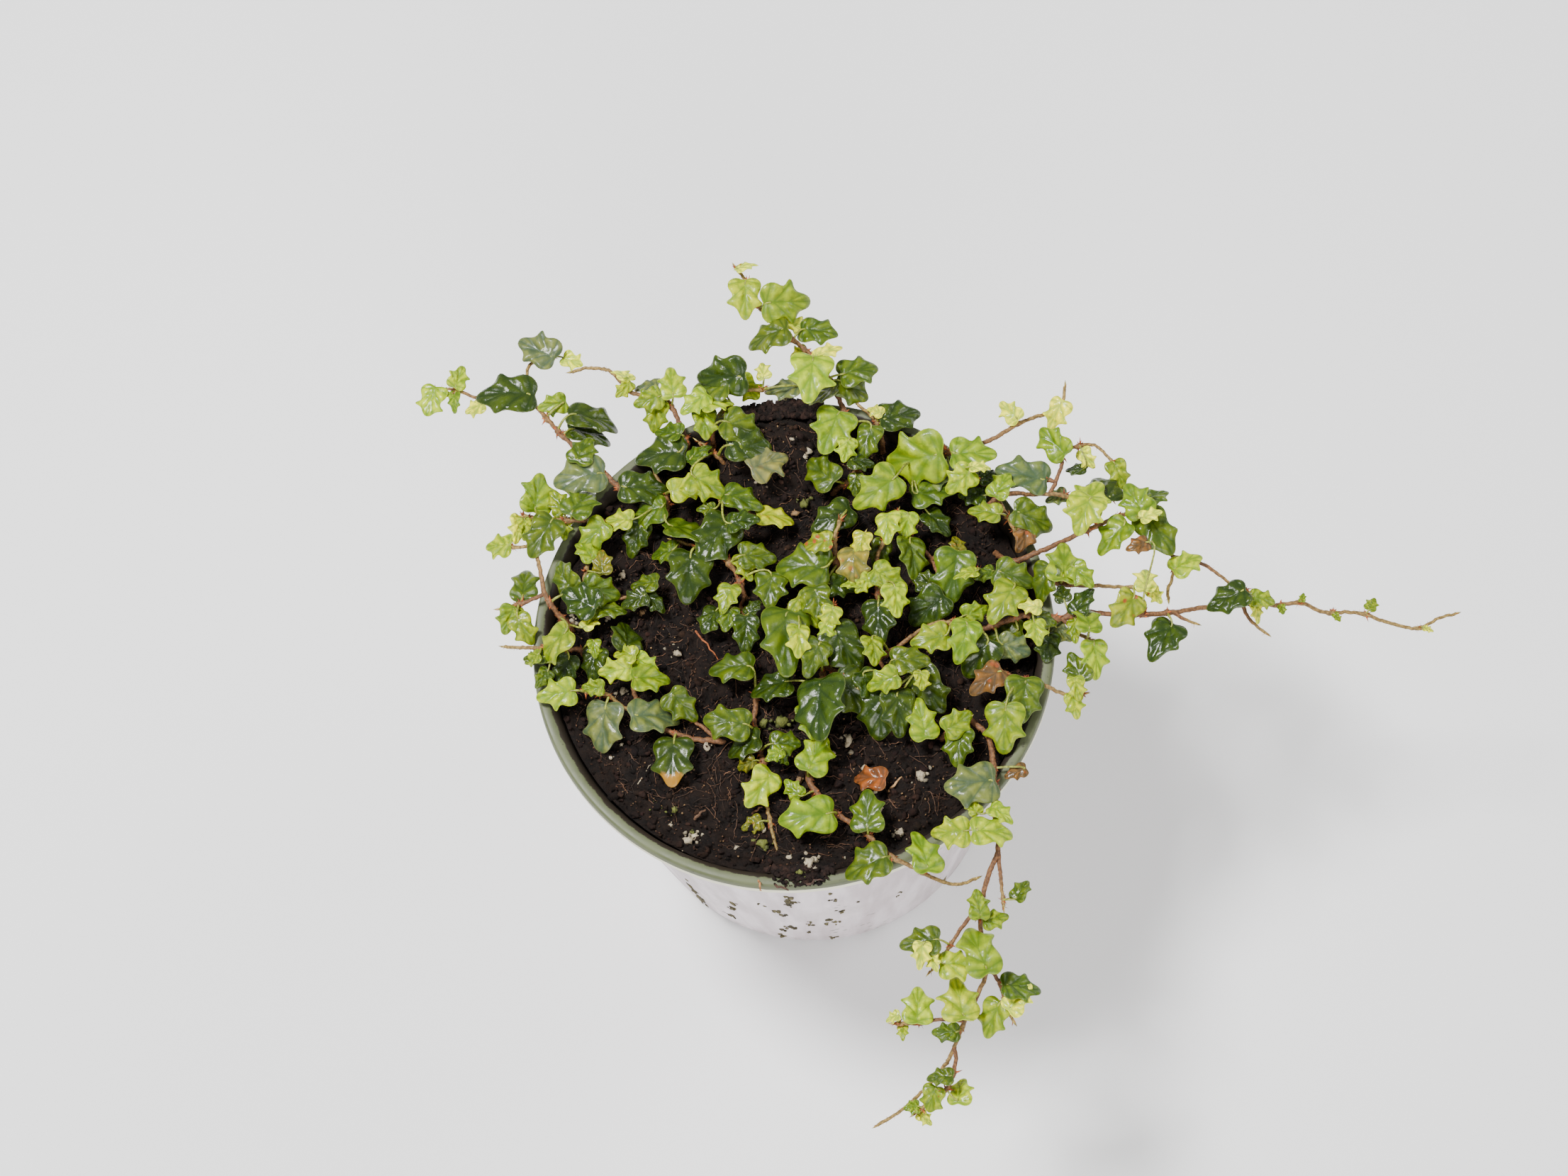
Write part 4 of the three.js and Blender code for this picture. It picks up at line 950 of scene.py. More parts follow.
def settle_leaf(row, obstacles, rng):
    """Shapes a leaf, at the first height of LIFTS that keeps it off the stems, soil and rim."""
    x, y, height, heading, length, tone = row
    colour, gloss, lobes, curl, spots = TONES[tone]
    shape = leaf_shape(length, lobes, curl, rng)
    axes = leaf_frame(heading, rng.uniform(-8, 26), rng.normal(0, 15))
    turned = shape["points"] @ axes
    test_faces = top_faces(shape)
    for lift in LIFTS:
        base = place((x, y), height + lift)
        top = (base + turned)[: shape["top_count"]]
        if above_soil_and_rim(top) and obstacles.clear(top, test_faces):
            break
    shift = 1 + rng.normal(0, 0.05)
    warmth = np.array([1 + rng.normal(0, 0.05), 1, 1 + rng.normal(0, 0.06)])
    return {
        "base": base,
        "points": base + turned,
        "faces": shape["faces"],
        "leaf": shape["leaf"],
        "edge": shape["edge"],
        "under": shape["under"],
        "tint": linear(colour) * shift * warmth,
        "gloss": gloss,
        "spots": spots,
        "burnt": 1.0 if tone == "burnt" else 0.0,
        "seed": rng.uniform(0, 50),
        "ahead": axes[0],
        "length": length,
    }


# ---------- stems ----------
BARK = np.array([112, 76, 44])
GREEN_STEM = np.array([140, 118, 62])
RUST = np.array([168, 88, 40])
PETIOLE = np.array([136, 146, 52])
PETIOLE_RADIUS = 0.34
BUD = (176, 160, 84)
STEM_SPACING = 0.9
STEM_SIDES = 9
PETIOLE_STEPS = 9
NODE_SCALES = 5
NODE_BRISTLES = 12


def stem_lines(routes):
    """Centre lines of a shoot's stems. A branch starts on the stems before it."""
    lines = []
    for route in routes:
        points = np.array([place(point[:2], point[2]) for point in route])
        if lines:
            before = np.vstack(lines)
            points[0] = before[np.argmin(np.linalg.norm(before - points[0], axis=1))]
        else:
            out = math.hypot(points[0][0], points[0][1])
            points[0][:2] *= min(1, ROOT_LIMIT / out)
            points[0][2] = POT_HEIGHT + ROOT_HEIGHT
        lines.append(catmull_rom(points, STEM_SPACING))
    return lines


def stem_radii(line, is_branch):
    start, end = (0.62, 0.42) if is_branch else (0.9, 0.48)
    return np.linspace(start, end, len(line))


def nearest_on(lines, point):
    """Which line, and which of its points, is nearest to a point."""
    best = None
    for which, line in enumerate(lines):
        gaps = np.linalg.norm(line - point, axis=1)
        spot = int(np.argmin(gaps))
        if best is None or gaps[spot] < best[0]:
            best = (gaps[spot], which, spot)
    return best[1], best[2]


def add_petiole(stems, start, leaf, rng):
    """A thin curved stalk from the stem to the leaf's notch, and on under the base of the midrib."""
    end = leaf["base"] + leaf["ahead"] * 0.10 * leaf["length"] - np.array([0, 0, 0.18])
    reach = np.linalg.norm(end - start)
    rise = np.array([0, 0, 0.28 * reach])
    leave = start + (end - start) * 0.3 + rise + rng.normal(0, 0.06 * reach, 3)
    arrive = end - leaf["ahead"] * 0.35 * reach + rise * 0.2
    line = []
    for t in np.linspace(0, 1, PETIOLE_STEPS):
        rest = 1 - t
        line.append(rest**3 * start + 3 * rest**2 * t * leave + 3 * rest * t**2 * arrive + t**3 * end)
    size = PETIOLE_RADIUS * (0.75 + 0.02 * leaf["length"])
    points, faces = tube(line, np.linspace(size * 1.25, size * 0.8, PETIOLE_STEPS), 6)
    stems.add(points, faces, tint=linear(PETIOLE) * rng.uniform(0.85, 1.1), rough=0.45)


def add_node(stems, spot, ahead, radius, rng):
    """The rusty scales and bristles where a leaf leaves the stem."""
    for _ in range(NODE_SCALES):
        direction = unit(rng.normal(size=3) + np.array([0, 0, 0.5]) + ahead * 0.6)
        points, faces = spike(spot, direction, rng.uniform(1.3, 2.9), radius * 0.75, rng.normal(0, 0.3, 3))
        stems.add(points, faces, tint=linear(RUST * rng.uniform(0.75, 1.15)), rough=0.8)
    for _ in range(NODE_BRISTLES):
        direction = unit(rng.normal(size=3))
        base = spot + direction * radius * 0.5
        points, faces = spike(base, direction, rng.uniform(0.9, 1.9), 0.09, rng.normal(0, 0.2, 3))
        stems.add(points, faces, tint=linear(RUST * rng.uniform(0.6, 1.2)), rough=0.8)


def add_stem(stems, line, radii, joints, rng):
    """A stem that swells at its joints and carries short bristles."""
    swollen = radii.copy()
    places = np.arange(len(line))
    for joint in joints:
        swollen = swollen + radii[joint] * 0.45 * np.exp(-(((places - joint) / 1.2) ** 2))
    wobble = rng.normal(0, 0.09, line.shape)
    wobble[0] = 0
    points, faces = tube(line + wobble, swollen * rng.uniform(0.92, 1.08, len(line)), STEM_SIDES)
    share = np.repeat(np.linspace(0, 1, len(line)), STEM_SIDES)
    green = ease(np.r_[share, 0, 1], 0.35, 1.0)[:, None]
    tint = linear(BARK) * (1 - green) + linear(GREEN_STEM) * green
    stems.add(points, faces, tint=tint, rough=0.7)
    for spot in range(6, len(line) - 1):
        ahead = unit(line[spot + 1] - line[spot - 1])
        for _ in range(2):
            out = rng.normal(size=3)
            out = unit(out - ahead * out.dot(ahead) + ahead * 0.5)
            base = line[spot] + out * radii[spot] * 0.8
            points, faces = spike(base, out, rng.uniform(0.3, 0.9), 0.06, rng.normal(0, 0.12, 3))
            stems.add(points, faces, tint=linear(RUST * rng.uniform(0.6, 1.1)), rough=0.85)


def add_bud(stems, line, rng):
    """The pointed bud at a shoot's end."""
    ahead = unit(line[-1] - line[-4])
    points, faces = spike(line[-1], ahead, 2.4, 0.5, np.array([0, 0, 0.4]))
    stems.add(points, faces, tint=linear(BUD), rough=0.5)
    for _ in range(4):
        points, faces = spike(line[-1], unit(ahead + rng.normal(0, 0.5, 3)), 1.5, 0.12, rng.normal(0, 0.2, 3))
        stems.add(points, faces, tint=linear(RUST), rough=0.8)


def build_plant(materials):
    """Every shoot: its leaves are settled from the lowest up, and then each shoot gets its two pieces."""
    obstacles = Obstacles()
    lines = {}
    for name, shoot in SHOOTS.items():
        lines[name] = stem_lines(shoot["stems"])
        for number, line in enumerate(lines[name]):
            points, faces = tube(line, stem_radii(line, number > 0) + 0.15, 5)
            obstacles.add(points, faces)

    order = []
    for name, shoot in SHOOTS.items():
        for number, row in enumerate(shoot["leaves"]):
            order.append((row[2], name, number, row))
    order.sort(key=lambda entry: entry[:3])
    settled = {name: [] for name in SHOOTS}
    for _, name, number, row in order:
        rng = np.random.default_rng([SEED, list(SHOOTS).index(name), number])
        settled[name].append(settle_leaf(row, obstacles, rng))

    for index, name in enumerate(SHOOTS):
        rng = np.random.default_rng([SEED, 1000 + index])
        stems = Gather(tint=(0.0, 0.0, 0.0), rough=0.0)
        leaves = new_leaf_gather()
        joints = {number: [] for number in range(len(lines[name]))}
        for leaf in settled[name]:
            which, spot = nearest_on(lines[name], leaf["base"])
            joints[which].append(spot)
            line = lines[name][which]
            add_petiole(stems, line[spot], leaf, rng)
            ahead = unit(line[min(spot + 1, len(line) - 1)] - line[max(spot - 1, 0)])
            add_node(stems, line[spot], ahead, stem_radii(line, which > 0)[spot], rng)
            add_leaf(leaves, leaf)
        for which, line in enumerate(lines[name]):
            add_stem(stems, line, stem_radii(line, which > 0), joints[which], rng)
            add_bud(stems, line, rng)
        stems.piece(name + "_stems", materials["stem"], "fig_leaf", [name])
        leaves.piece(name + "_leaves", materials["leaf"], "fig_leaf", [name])

    for index, (name, row) in enumerate(LOOSE_LEAVES.items()):
        rng = np.random.default_rng([SEED, 2000 + index])
        leaves = new_leaf_gather()
        add_leaf(leaves, settle_leaf(row, obstacles, rng))
        leaves.piece(name + "_blade", materials["leaf"], "dead_leaf", [name])


def new_leaf_gather():
    numbers = {key: 0.0 for key in ("edge", "under", "gloss", "spots", "burnt", "seed")}
    return Gather(leaf=(0.0, 0.0), tint=(0.0, 0.0, 0.0), **numbers)


def add_leaf(leaves, leaf):
    keys = ("leaf", "tint", "edge", "under", "gloss", "spots", "burnt", "seed")
    leaves.add(leaf["points"], leaf["faces"], **{key: leaf[key] for key in keys})


# ---------- pot ----------
POT_AROUND = 192
FACETS = 24
FACET_DEPTH = 0.10
OUT_OF_ROUND = 0.25
CUT_RAGGEDNESS = 0.1


def pot_profile():
    """The pot's section as (radius, height) runs: the pale outside, the cut edge, and the green inside."""
    top = POT_HEIGHT
    neck = WALL_TOP_RADIUS + WALL
    skirt = RIM_RADIUS - 1.1
    outside = [(0, 0), (20, 0), (36, 0), (48, 0), (BASE_RADIUS - 3.2, 0)]
    outside += [(BASE_RADIUS - 2.0, 0.3), (BASE_RADIUS - 0.8, 1.1), (BASE_RADIUS - 0.2, 2.2)]
    for share in np.linspace(0.03, 0.93, 16):
        z = share * (top - RIM_DROP)
        outside.append((wall_radius(z) + WALL, z))
    outside += [(neck + 0.1, top - RIM_DROP - 1), (neck + 0.3, top - 2.6), (neck + 0.9, top - 1.7)]
    outside += [(skirt - 0.9, top - 1.5), (skirt - 0.2, top - 2.0), (skirt, top - 2.8)]
    cut = [
        (skirt, top - RIM_DROP),
        (skirt + 0.2, top - RIM_DROP - 0.2),
        (RIM_RADIUS - 0.1, top - RIM_DROP - 0.1),
    ]
    cut += [(RIM_RADIUS, top - RIM_DROP + 0.4), (RIM_RADIUS - 0.05, top - RIM_DROP + 2.6)]
    inside = [(RIM_RADIUS - 0.1, top - RIM_DROP + 2.9), (RIM_RADIUS - 0.2, top - 1.3)]
    inside += [(RIM_RADIUS - 0.4, top - 0.5), (RIM_RADIUS - 0.7, top - 0.1), (RIM_RADIUS - 1.1, top)]
    inside += [(RIM_INNER_RADIUS + 1.3, top), (RIM_INNER_RADIUS + 0.8, top - 0.25)]
    inside += [(WALL_TOP_RADIUS + 0.5, top - 1.0)]
    for share in np.linspace(0.93, 0.06, 9):
        z = FLOOR + share * (top - FLOOR)
        inside.append((wall_radius(z), z))
    inside += [(BASE_RADIUS - WALL - 2, FLOOR + 0.6), (BASE_RADIUS - WALL - 4, FLOOR)]
    inside += [(30, FLOOR), (0, FLOOR)]
    return outside, cut, inside


def pot_piece(materials):
    """The pot's profile turned round its axis, slightly out of round, with a ragged cut edge."""
    outside, cut, inside = pot_profile()
    profile = outside + cut + inside
    rng = np.random.default_rng([SEED, 3000])
    ragged = rng.normal(0, CUT_RAGGEDNESS, POT_AROUND)
    points = []
    faces = []
    indexes = []
    for number, (radius, z) in enumerate(profile):
        if radius == 0:
            points.append((0, 0, z))
            continue
        is_cut = len(outside) <= number < len(outside) + len(cut)
        for i in range(POT_AROUND):
            angle = 2 * math.pi * i / POT_AROUND
            is_wall = radius > 50
            facet = FACET_DEPTH * math.cos(FACETS * angle) if 8 < z < POT_HEIGHT - 9 and is_wall else 0.0
            drift = OUT_OF_ROUND * math.sin(2 * angle + 0.7) * z / POT_HEIGHT
            out = radius + facet + drift * (1 if is_wall else 0)
            points.append((out * math.cos(angle), out * math.sin(angle), z + (ragged[i] if is_cut else 0)))
    first = [0]
    for radius, _ in profile:
        first.append(first[-1] + (1 if radius == 0 else POT_AROUND))
    for number in range(len(profile) - 1):
        a, b = first[number], first[number + 1]
        green = number >= len(outside) + len(cut) - 1
        for i in range(POT_AROUND):
            j = (i + 1) % POT_AROUND
            if profile[number][0] == 0:
                faces.append((a, b + j, b + i))
            elif profile[number + 1][0] == 0:
                faces.append((a + i, a + j, b))
            else:
                faces.append((a + i, a + j, b + j, b + i))
            indexes.append(1 if green else 0)
    mesh = bpy.data.meshes.new("nursery_pot_shell")
    mesh.from_pydata((np.array(points) * MM).tolist(), [], faces)
    mesh.polygons.foreach_set("material_index", indexes)
    mesh.polygons.foreach_set("use_smooth", [True] * len(faces))
    looks = [materials["pot_outside"], materials["pot_inside"]]
    pot = finished(mesh, "nursery_pot_shell", looks, ["nursery_pot"])
    cut_drain_holes(pot)


def cut_drain_holes(pot):
    cutter_points = []
    cutter_faces = []
    for hole in range(DRAIN_HOLES):
        angle = 2 * math.pi * hole / DRAIN_HOLES
        centre = np.array([DRAIN_RING_RADIUS * math.cos(angle), DRAIN_RING_RADIUS * math.sin(angle), 0])
        line = [centre + [0, 0, z] for z in (-4, 8)]
        points, faces = tube(line, [DRAIN_RADIUS, DRAIN_RADIUS], 32)
        cutter_faces += [tuple(i + len(cutter_points) for i in face) for face in faces]
        cutter_points += list(points)
    mesh = bpy.data.meshes.new("drain_cutter")
    mesh.from_pydata((np.array(cutter_points) * MM).tolist(), [], cutter_faces)
    cutter = bpy.data.objects.new("drain_cutter", mesh)
    bpy.context.scene.collection.objects.link(cutter)
    cut = pot.modifiers.new("drain_holes", "BOOLEAN")
    cut.object = cutter
    cut.operation = "DIFFERENCE"
    cut.solver = "EXACT"
    depsgraph = bpy.context.evaluated_depsgraph_get()
    pot.data = bpy.data.meshes.new_from_object(pot.evaluated_get(depsgraph))
    pot.modifiers.clear()
    bpy.data.objects.remove(cutter)


SPECK_COLOUR = (92, 88, 62)
LUMPS_PER_SPECK = 5
FLATTENED = 0.85  # share of a speck's depth off the wall that is taken away
RUN_DOWN = 2.2  # vertical stretch


def speck_piece(material):
    """Specks of algae and soil that cling to the front of the pot in a few runs."""
    specks = Gather(tint=(0.0, 0.0, 0.0), rough=0.0)
    rng = np.random.default_rng([SEED, 3100])
    for start, end, number, spread, size in SPECK_RUNS:
        for share in rng.uniform(0, 1, number):
            mark = np.array(start) * (1 - share) + np.array(end) * share + rng.normal(0, spread, 2)
            point, out = on_wall(mark)
            if point is None or math.hypot(*mark) < RIM_RADIUS + 1:
                continue
            for _ in range(LUMPS_PER_SPECK):
                aside = rng.normal(0, size * 0.42, 3)
                points, faces = lump(PEBBLE, aside, size * rng.uniform(0.5, 1.3), 0.8, rng)
                points = (points - np.outer(points @ out, out) * FLATTENED) * [1, 1, RUN_DOWN]
                tint = linear(SPECK_COLOUR) * rng.uniform(0.6, 1.7)
                specks.add(point + points, faces, tint=tint, rough=0.9)
    return specks.piece("pot_specks", material, "peat_soil")


# ---------- soil ----------
SOIL_RINGS = 150
SOIL_AROUND = 300
SOIL_COLOUR = (29, 21, 16)
CRUMB_COLOUR = (42, 30, 23)
DRY_CRUMB_COLOUR = (96, 72, 54)
SPILT_CRUMB_COLOUR = (40, 28, 23)
FIBRE_COLOUR = (98, 70, 50)
CRUMBS = 5200
DRY_CRUMBS = 2600
SPILT_CRUMBS = 1100
FIBRES = 1300
FIBRE_STEPS = 6
TAN_GRAINS = 620


def fine_soil(x, y):
    """Soil surface with its clods and crumbs."""
    spot = Vector((x, y, 0))
    clods = 1.5 * noise.fractal(spot / 5.0, 0.8, 2.1, 5)
    pits = -2.2 * max(0.0, noise.noise(spot / 3.4)) - 0.8 * abs(noise.noise(spot / 1.5))
    return soil_height(x, y) + 0.4 + clods + pits


def soil_piece(material):
    points = [(0, 0, fine_soil(0, 0))]
    edge = WALL_TOP_RADIUS - 0.5
    for ring in range(1, SOIL_RINGS + 1):
        radius = edge * (ring / SOIL_RINGS) ** 0.85
        for i in range(SOIL_AROUND):
            angle = 2 * math.pi * (i + 0.5 * (ring % 2)) / SOIL_AROUND
            x, y = radius * math.cos(angle), radius * math.sin(angle)
            z = fine_soil(x, y)
            fit = min(1, (wall_radius(min(z, POT_HEIGHT)) - 0.2) / radius)
            points.append((x * fit, y * fit, z))
    last = 1 + (SOIL_RINGS - 1) * SOIL_AROUND
    low = FLOOR + 0.4
    for i in range(SOIL_AROUND):
        x, y, _ = points[last + i]
        shrink = (wall_radius(low) - 2.5) / math.hypot(x, y)
        points.append((x * shrink, y * shrink, low))
    points.append((0, 0, low))
    faces = [(0, 1 + i, 1 + (i + 1) % SOIL_AROUND) for i in range(SOIL_AROUND)]
    for ring in range(SOIL_RINGS):
        inner = 1 + ring * SOIL_AROUND
        outer = inner + SOIL_AROUND
        for i in range(SOIL_AROUND):
            j = (i + 1) % SOIL_AROUND
            faces.append((inner + i, outer + i, outer + j, inner + j))
    bottom = 1 + SOIL_RINGS * SOIL_AROUND
    faces += [(bottom + i, len(points) - 1, bottom + (i + 1) % SOIL_AROUND) for i in range(SOIL_AROUND)]
    soil = Gather(tint=linear(SOIL_COLOUR), rough=0.9)
    soil.add(np.array(points), faces)
    return soil.piece("soil_surface", material, "peat_soil", ["soil"])


def random_mark(radius, rng):
    """An x and y inside a circle round the axis."""
    out = radius * math.sqrt(rng.uniform())
    angle = rng.uniform(0, 2 * math.pi)
    return out * math.cos(angle), out * math.sin(angle)


def crumb_piece(material):
    """Loose crumbs of peat and bark, more of them on the heap and the spill."""
    crumbs = Gather(tint=(0.0, 0.0, 0.0), rough=0.9)
    rng = np.random.default_rng([SEED, 4000])
    for _ in range(CRUMBS):
        x, y = random_mark(WALL_TOP_RADIUS - 1.5, rng)
        size = min(3.6, 0.6 + rng.exponential(0.6))
        shade = rng.choice([0.35, 0.75, 1.2, 2.0], p=[0.3, 0.4, 0.22, 0.08])
        tint = linear(CRUMB_COLOUR) * shade * [1, rng.uniform(0.8, 1), rng.uniform(0.7, 1)]
        centre = np.array([x, y, fine_soil(x, y) + size * 0.15])
        points, faces = lump(CRUMB, centre, size, rng.uniform(0.4, 1), rng)
        crumbs.add(points, faces, tint=tint)
    for _ in range(DRY_CRUMBS):
        x, y = random_mark(WALL_TOP_RADIUS - 2, rng)
        size = rng.uniform(0.25, 0.75)
        tint = linear(DRY_CRUMB_COLOUR) * rng.uniform(0.3, 1.3)
        points, faces = lump(CRUMB, np.array([x, y, fine_soil(x, y) + 0.35]), size, 0.7, rng)
        crumbs.add(points, faces, tint=tint)
    for _ in range(SPILT_CRUMBS):
        front = rng.uniform() < 0.3
        x = np.clip(rng.normal(3, 3.8), -8, 11) if front else rng.uniform(-19, 9)
        out = 70.3 + (5.0 * rng.uniform() ** 1.5 if front else rng.uniform(0, 5.2))
        y = math.sqrt(out**2 - x**2) * (-1 if front else 1)
        size = rng.uniform(0.6, 2.4) * (1.15 - 0.1 * (out - 70.5) if front else 1.1)
        centre = np.array([x, y, max(POT_HEIGHT, fine_soil(x, y) if out < 71 else 0) + size * 0.3])
        points, faces = lump(CRUMB, centre, size, 0.7, rng)
        crumbs.add(points, faces, tint=linear(SPILT_CRUMB_COLOUR) * rng.uniform(0.4, 1.5))
    return crumbs.piece("soil_crumbs", material, "peat_soil")


def fibre_piece(material):
    """Root threads, twigs and peat fibres on the soil."""
    fibres = Gather(tint=(0.0, 0.0, 0.0), rough=0.8)
    rng = np.random.default_rng([SEED, 4100])
    for start, end, thickness, colour in THREADS:
        if math.hypot(*start) > WALL_TOP_RADIUS:
            a, b = place(start, 0.4), place(end, 0.5)
        else:
            a, b = on_soil(start), on_soil(end)
        line = [a + (b - a) * t + [0, 0, 0.4 + 0.8 * math.sin(math.pi * t)] for t in np.linspace(0, 1, 7)]
        line = np.array(line) + rng.normal(0, 0.2, (7, 3))
        points, faces = tube(line, np.linspace(1, 0.5, 7) * thickness / 2 * 1.4, 6)
        fibres.add(points, faces, tint=linear(colour))
    for _ in range(FIBRES):
        middle = np.array(random_mark(WALL_TOP_RADIUS - 5, rng))
        heading = rng.uniform(0, 2 * math.pi)
        half = rng.uniform(1.2, 3.4)
        step = np.array([math.cos(heading), math.sin(heading)]) * half
        line = []
        for t in np.linspace(-1, 1, FIBRE_STEPS):
            x, y = middle + step * t + rng.normal(0, 0.25, 2)
            line.append((x, y, fine_soil(x, y) + 0.2 + 0.3 * (1 - t * t)))
        size = rng.uniform(0.04, 0.13)
        points, faces = tube(line, np.full(FIBRE_STEPS, size), 4)
        colour = np.array(FIBRE_COLOUR) * rng.uniform(0.3, 1.2)
        fibres.add(points, faces, tint=linear(colour))
    return fibres.piece("soil_fibres", material, "peat_soil")


def grain_piece(material):
    """Perlite and other grains."""
    grains = Gather(tint=(0.0, 0.0, 0.0), rough=0.75)
    rng = np.random.default_rng([SEED, 4200])
    for x, y, size, colour in GRAINS:
        centre = on_soil((x, y)) + [0, 0, 0.5 + size * 0.05]
        points, faces = lump(PEBBLE, centre, size * 1.1, 0.7, rng)
        tint = linear(GRAIN_COLOURS[colour]) * rng.uniform(0.75, 1.1)
        grains.add(points, faces, tint=tint)
        for _ in range(int(size * 3)):
            beside = centre + [*rng.normal(0, size * 0.5, 2), -0.2]
            points, faces = lump(CRUMB, beside, size * rng.uniform(0.2, 0.65), 0.8, rng)
            grains.add(points, faces, tint=tint * rng.uniform(0.4, 0.9))
    for _ in range(TAN_GRAINS):
        x, y = random_mark(WALL_TOP_RADIUS - 4, rng)
        size = rng.uniform(0.25, 0.8)
        points, faces = lump(CRUMB, np.array([x, y, fine_soil(x, y) + 0.4]), size, 0.8, rng)
        grains.add(points, faces, tint=linear(GRAIN_COLOURS["tan"]) * rng.uniform(0.3, 1.1))
    return grains.piece("perlite_grains", material, "peat_soil")


# ---------- materials ----------
class Shader:
    """A material's nodes, with short calls for the ones used here."""

    def __init__(self, name, **fixed):
        self.material = bpy.data.materials.new(name)
        self.material.use_nodes = True
        self.nodes = self.material.node_tree.nodes
        self.links = self.material.node_tree.links
        self.surface = self.nodes["Principled BSDF"]
        for socket, value in fixed.items():
            self.surface.inputs[socket.replace("_", " ")].default_value = value

    def link(self, value, socket):
        if hasattr(value, "is_output"):
            self.links.new(value, socket)
        else:
            socket.default_value = value

    def math(self, operation, a, b=0.0, clamp=False):
        node = self.nodes.new("ShaderNodeMath")
        node.operation = operation
        node.use_clamp = clamp
        self.link(a, node.inputs[0])
        self.link(b, node.inputs[1])
        return node.outputs[0]

    def vector(self, operation, a, b=(0, 0, 0), scale=None):
        node = self.nodes.new("ShaderNodeVectorMath")
        node.operation = operation
        self.link(a, node.inputs[0])
        self.link(b, node.inputs[1])
        if scale is not None:
            self.link(scale, node.inputs["Scale"])
        return node.outputs["Value" if operation in ("DOT_PRODUCT", "LENGTH") else "Vector"]

    def ramp(self, value, low, high, start=0.0, end=1.0):
        node = self.nodes.new("ShaderNodeMapRange")
        node.interpolation_type = "SMOOTHSTEP"
        self.link(value, node.inputs["Value"])
        for name, number in zip(("From Min", "From Max", "To Min", "To Max"), (low, high, start, end)):
            node.inputs[name].default_value = number
        return node.outputs["Result"]

    def mix(self, share, a, b):
        node = self.nodes.new("ShaderNodeMix")
        node.data_type = "RGBA"
        self.link(share, node.inputs["Factor"])
        self.link(a, node.inputs[6])
        self.link(b, node.inputs[7])
        return node.outputs[2]

    def value(self, name):
        node = self.nodes.new("ShaderNodeAttribute")
        node.attribute_name = name
        return node.outputs["Fac"]

    def colour(self, name):
        node = self.nodes.new("ShaderNodeAttribute")
        node.attribute_name = name
        return node.outputs["Color"]

    def spot(self, name):
        node = self.nodes.new("ShaderNodeAttribute")
        node.attribute_name = name
        return node.outputs["Vector"]

    def parts(self, vector):
        node = self.nodes.new("ShaderNodeSeparateXYZ")
        self.link(vector, node.inputs[0])
        return node.outputs

    def position(self):
        return self.nodes.new("ShaderNodeTexCoord").outputs["Object"]

    def noise(self, place, scale, detail=3.0, roughness=0.55):
        node = self.nodes.new("ShaderNodeTexNoise")
        self.link(place, node.inputs["Vector"])
        node.inputs["Scale"].default_value = scale
        node.inputs["Detail"].default_value = detail
        node.inputs["Roughness"].default_value = roughness
        return node.outputs["Fac"]

    def cells(self, place, scale, feature):
        node = self.nodes.new("ShaderNodeTexVoronoi")
        node.feature = feature
        self.link(place, node.inputs["Vector"])
        node.inputs["Scale"].default_value = scale
        return node.outputs["Distance"]

    def bump(self, height, distance, strength=1.0):
        node = self.nodes.new("ShaderNodeBump")
        node.inputs["Distance"].default_value = distance
        node.inputs["Strength"].default_value = strength
        self.link(height, node.inputs["Height"])
        self.links.new(node.outputs["Normal"], self.surface.inputs["Normal"])

    def base(self, colour):
        self.link(colour, self.surface.inputs["Base Color"])

    def roughness(self, value):
        self.link(value, self.surface.inputs["Roughness"])


def main_vein(shader, spot):
    """Distance from the nearest main vein, as in vein_distance."""
    along_leaf, aside, _ = shader.parts(spot)
    folded = shader.nodes.new("ShaderNodeCombineXYZ")
    shader.link(along_leaf, folded.inputs[0])
    shader.link(shader.math("ABSOLUTE", aside), folded.inputs[1])
    nearest = None
    for start, end in VEINS:
        run = np.subtract(end, start)
        offset = shader.vector("SUBTRACT", folded.outputs[0], (*start, 0))
        share = shader.vector("DOT_PRODUCT", offset, (*(run / run.dot(run)), 0))
        share = shader.math("MINIMUM", shader.math("MAXIMUM", share, 0.0), 1.0)
        along = shader.vector("SCALE", (*run, 0), scale=share)
        gap = shader.vector("LENGTH", shader.vector("SUBTRACT", offset, along))
        nearest = gap if nearest is None else shader.math("MINIMUM", nearest, gap)
    return nearest


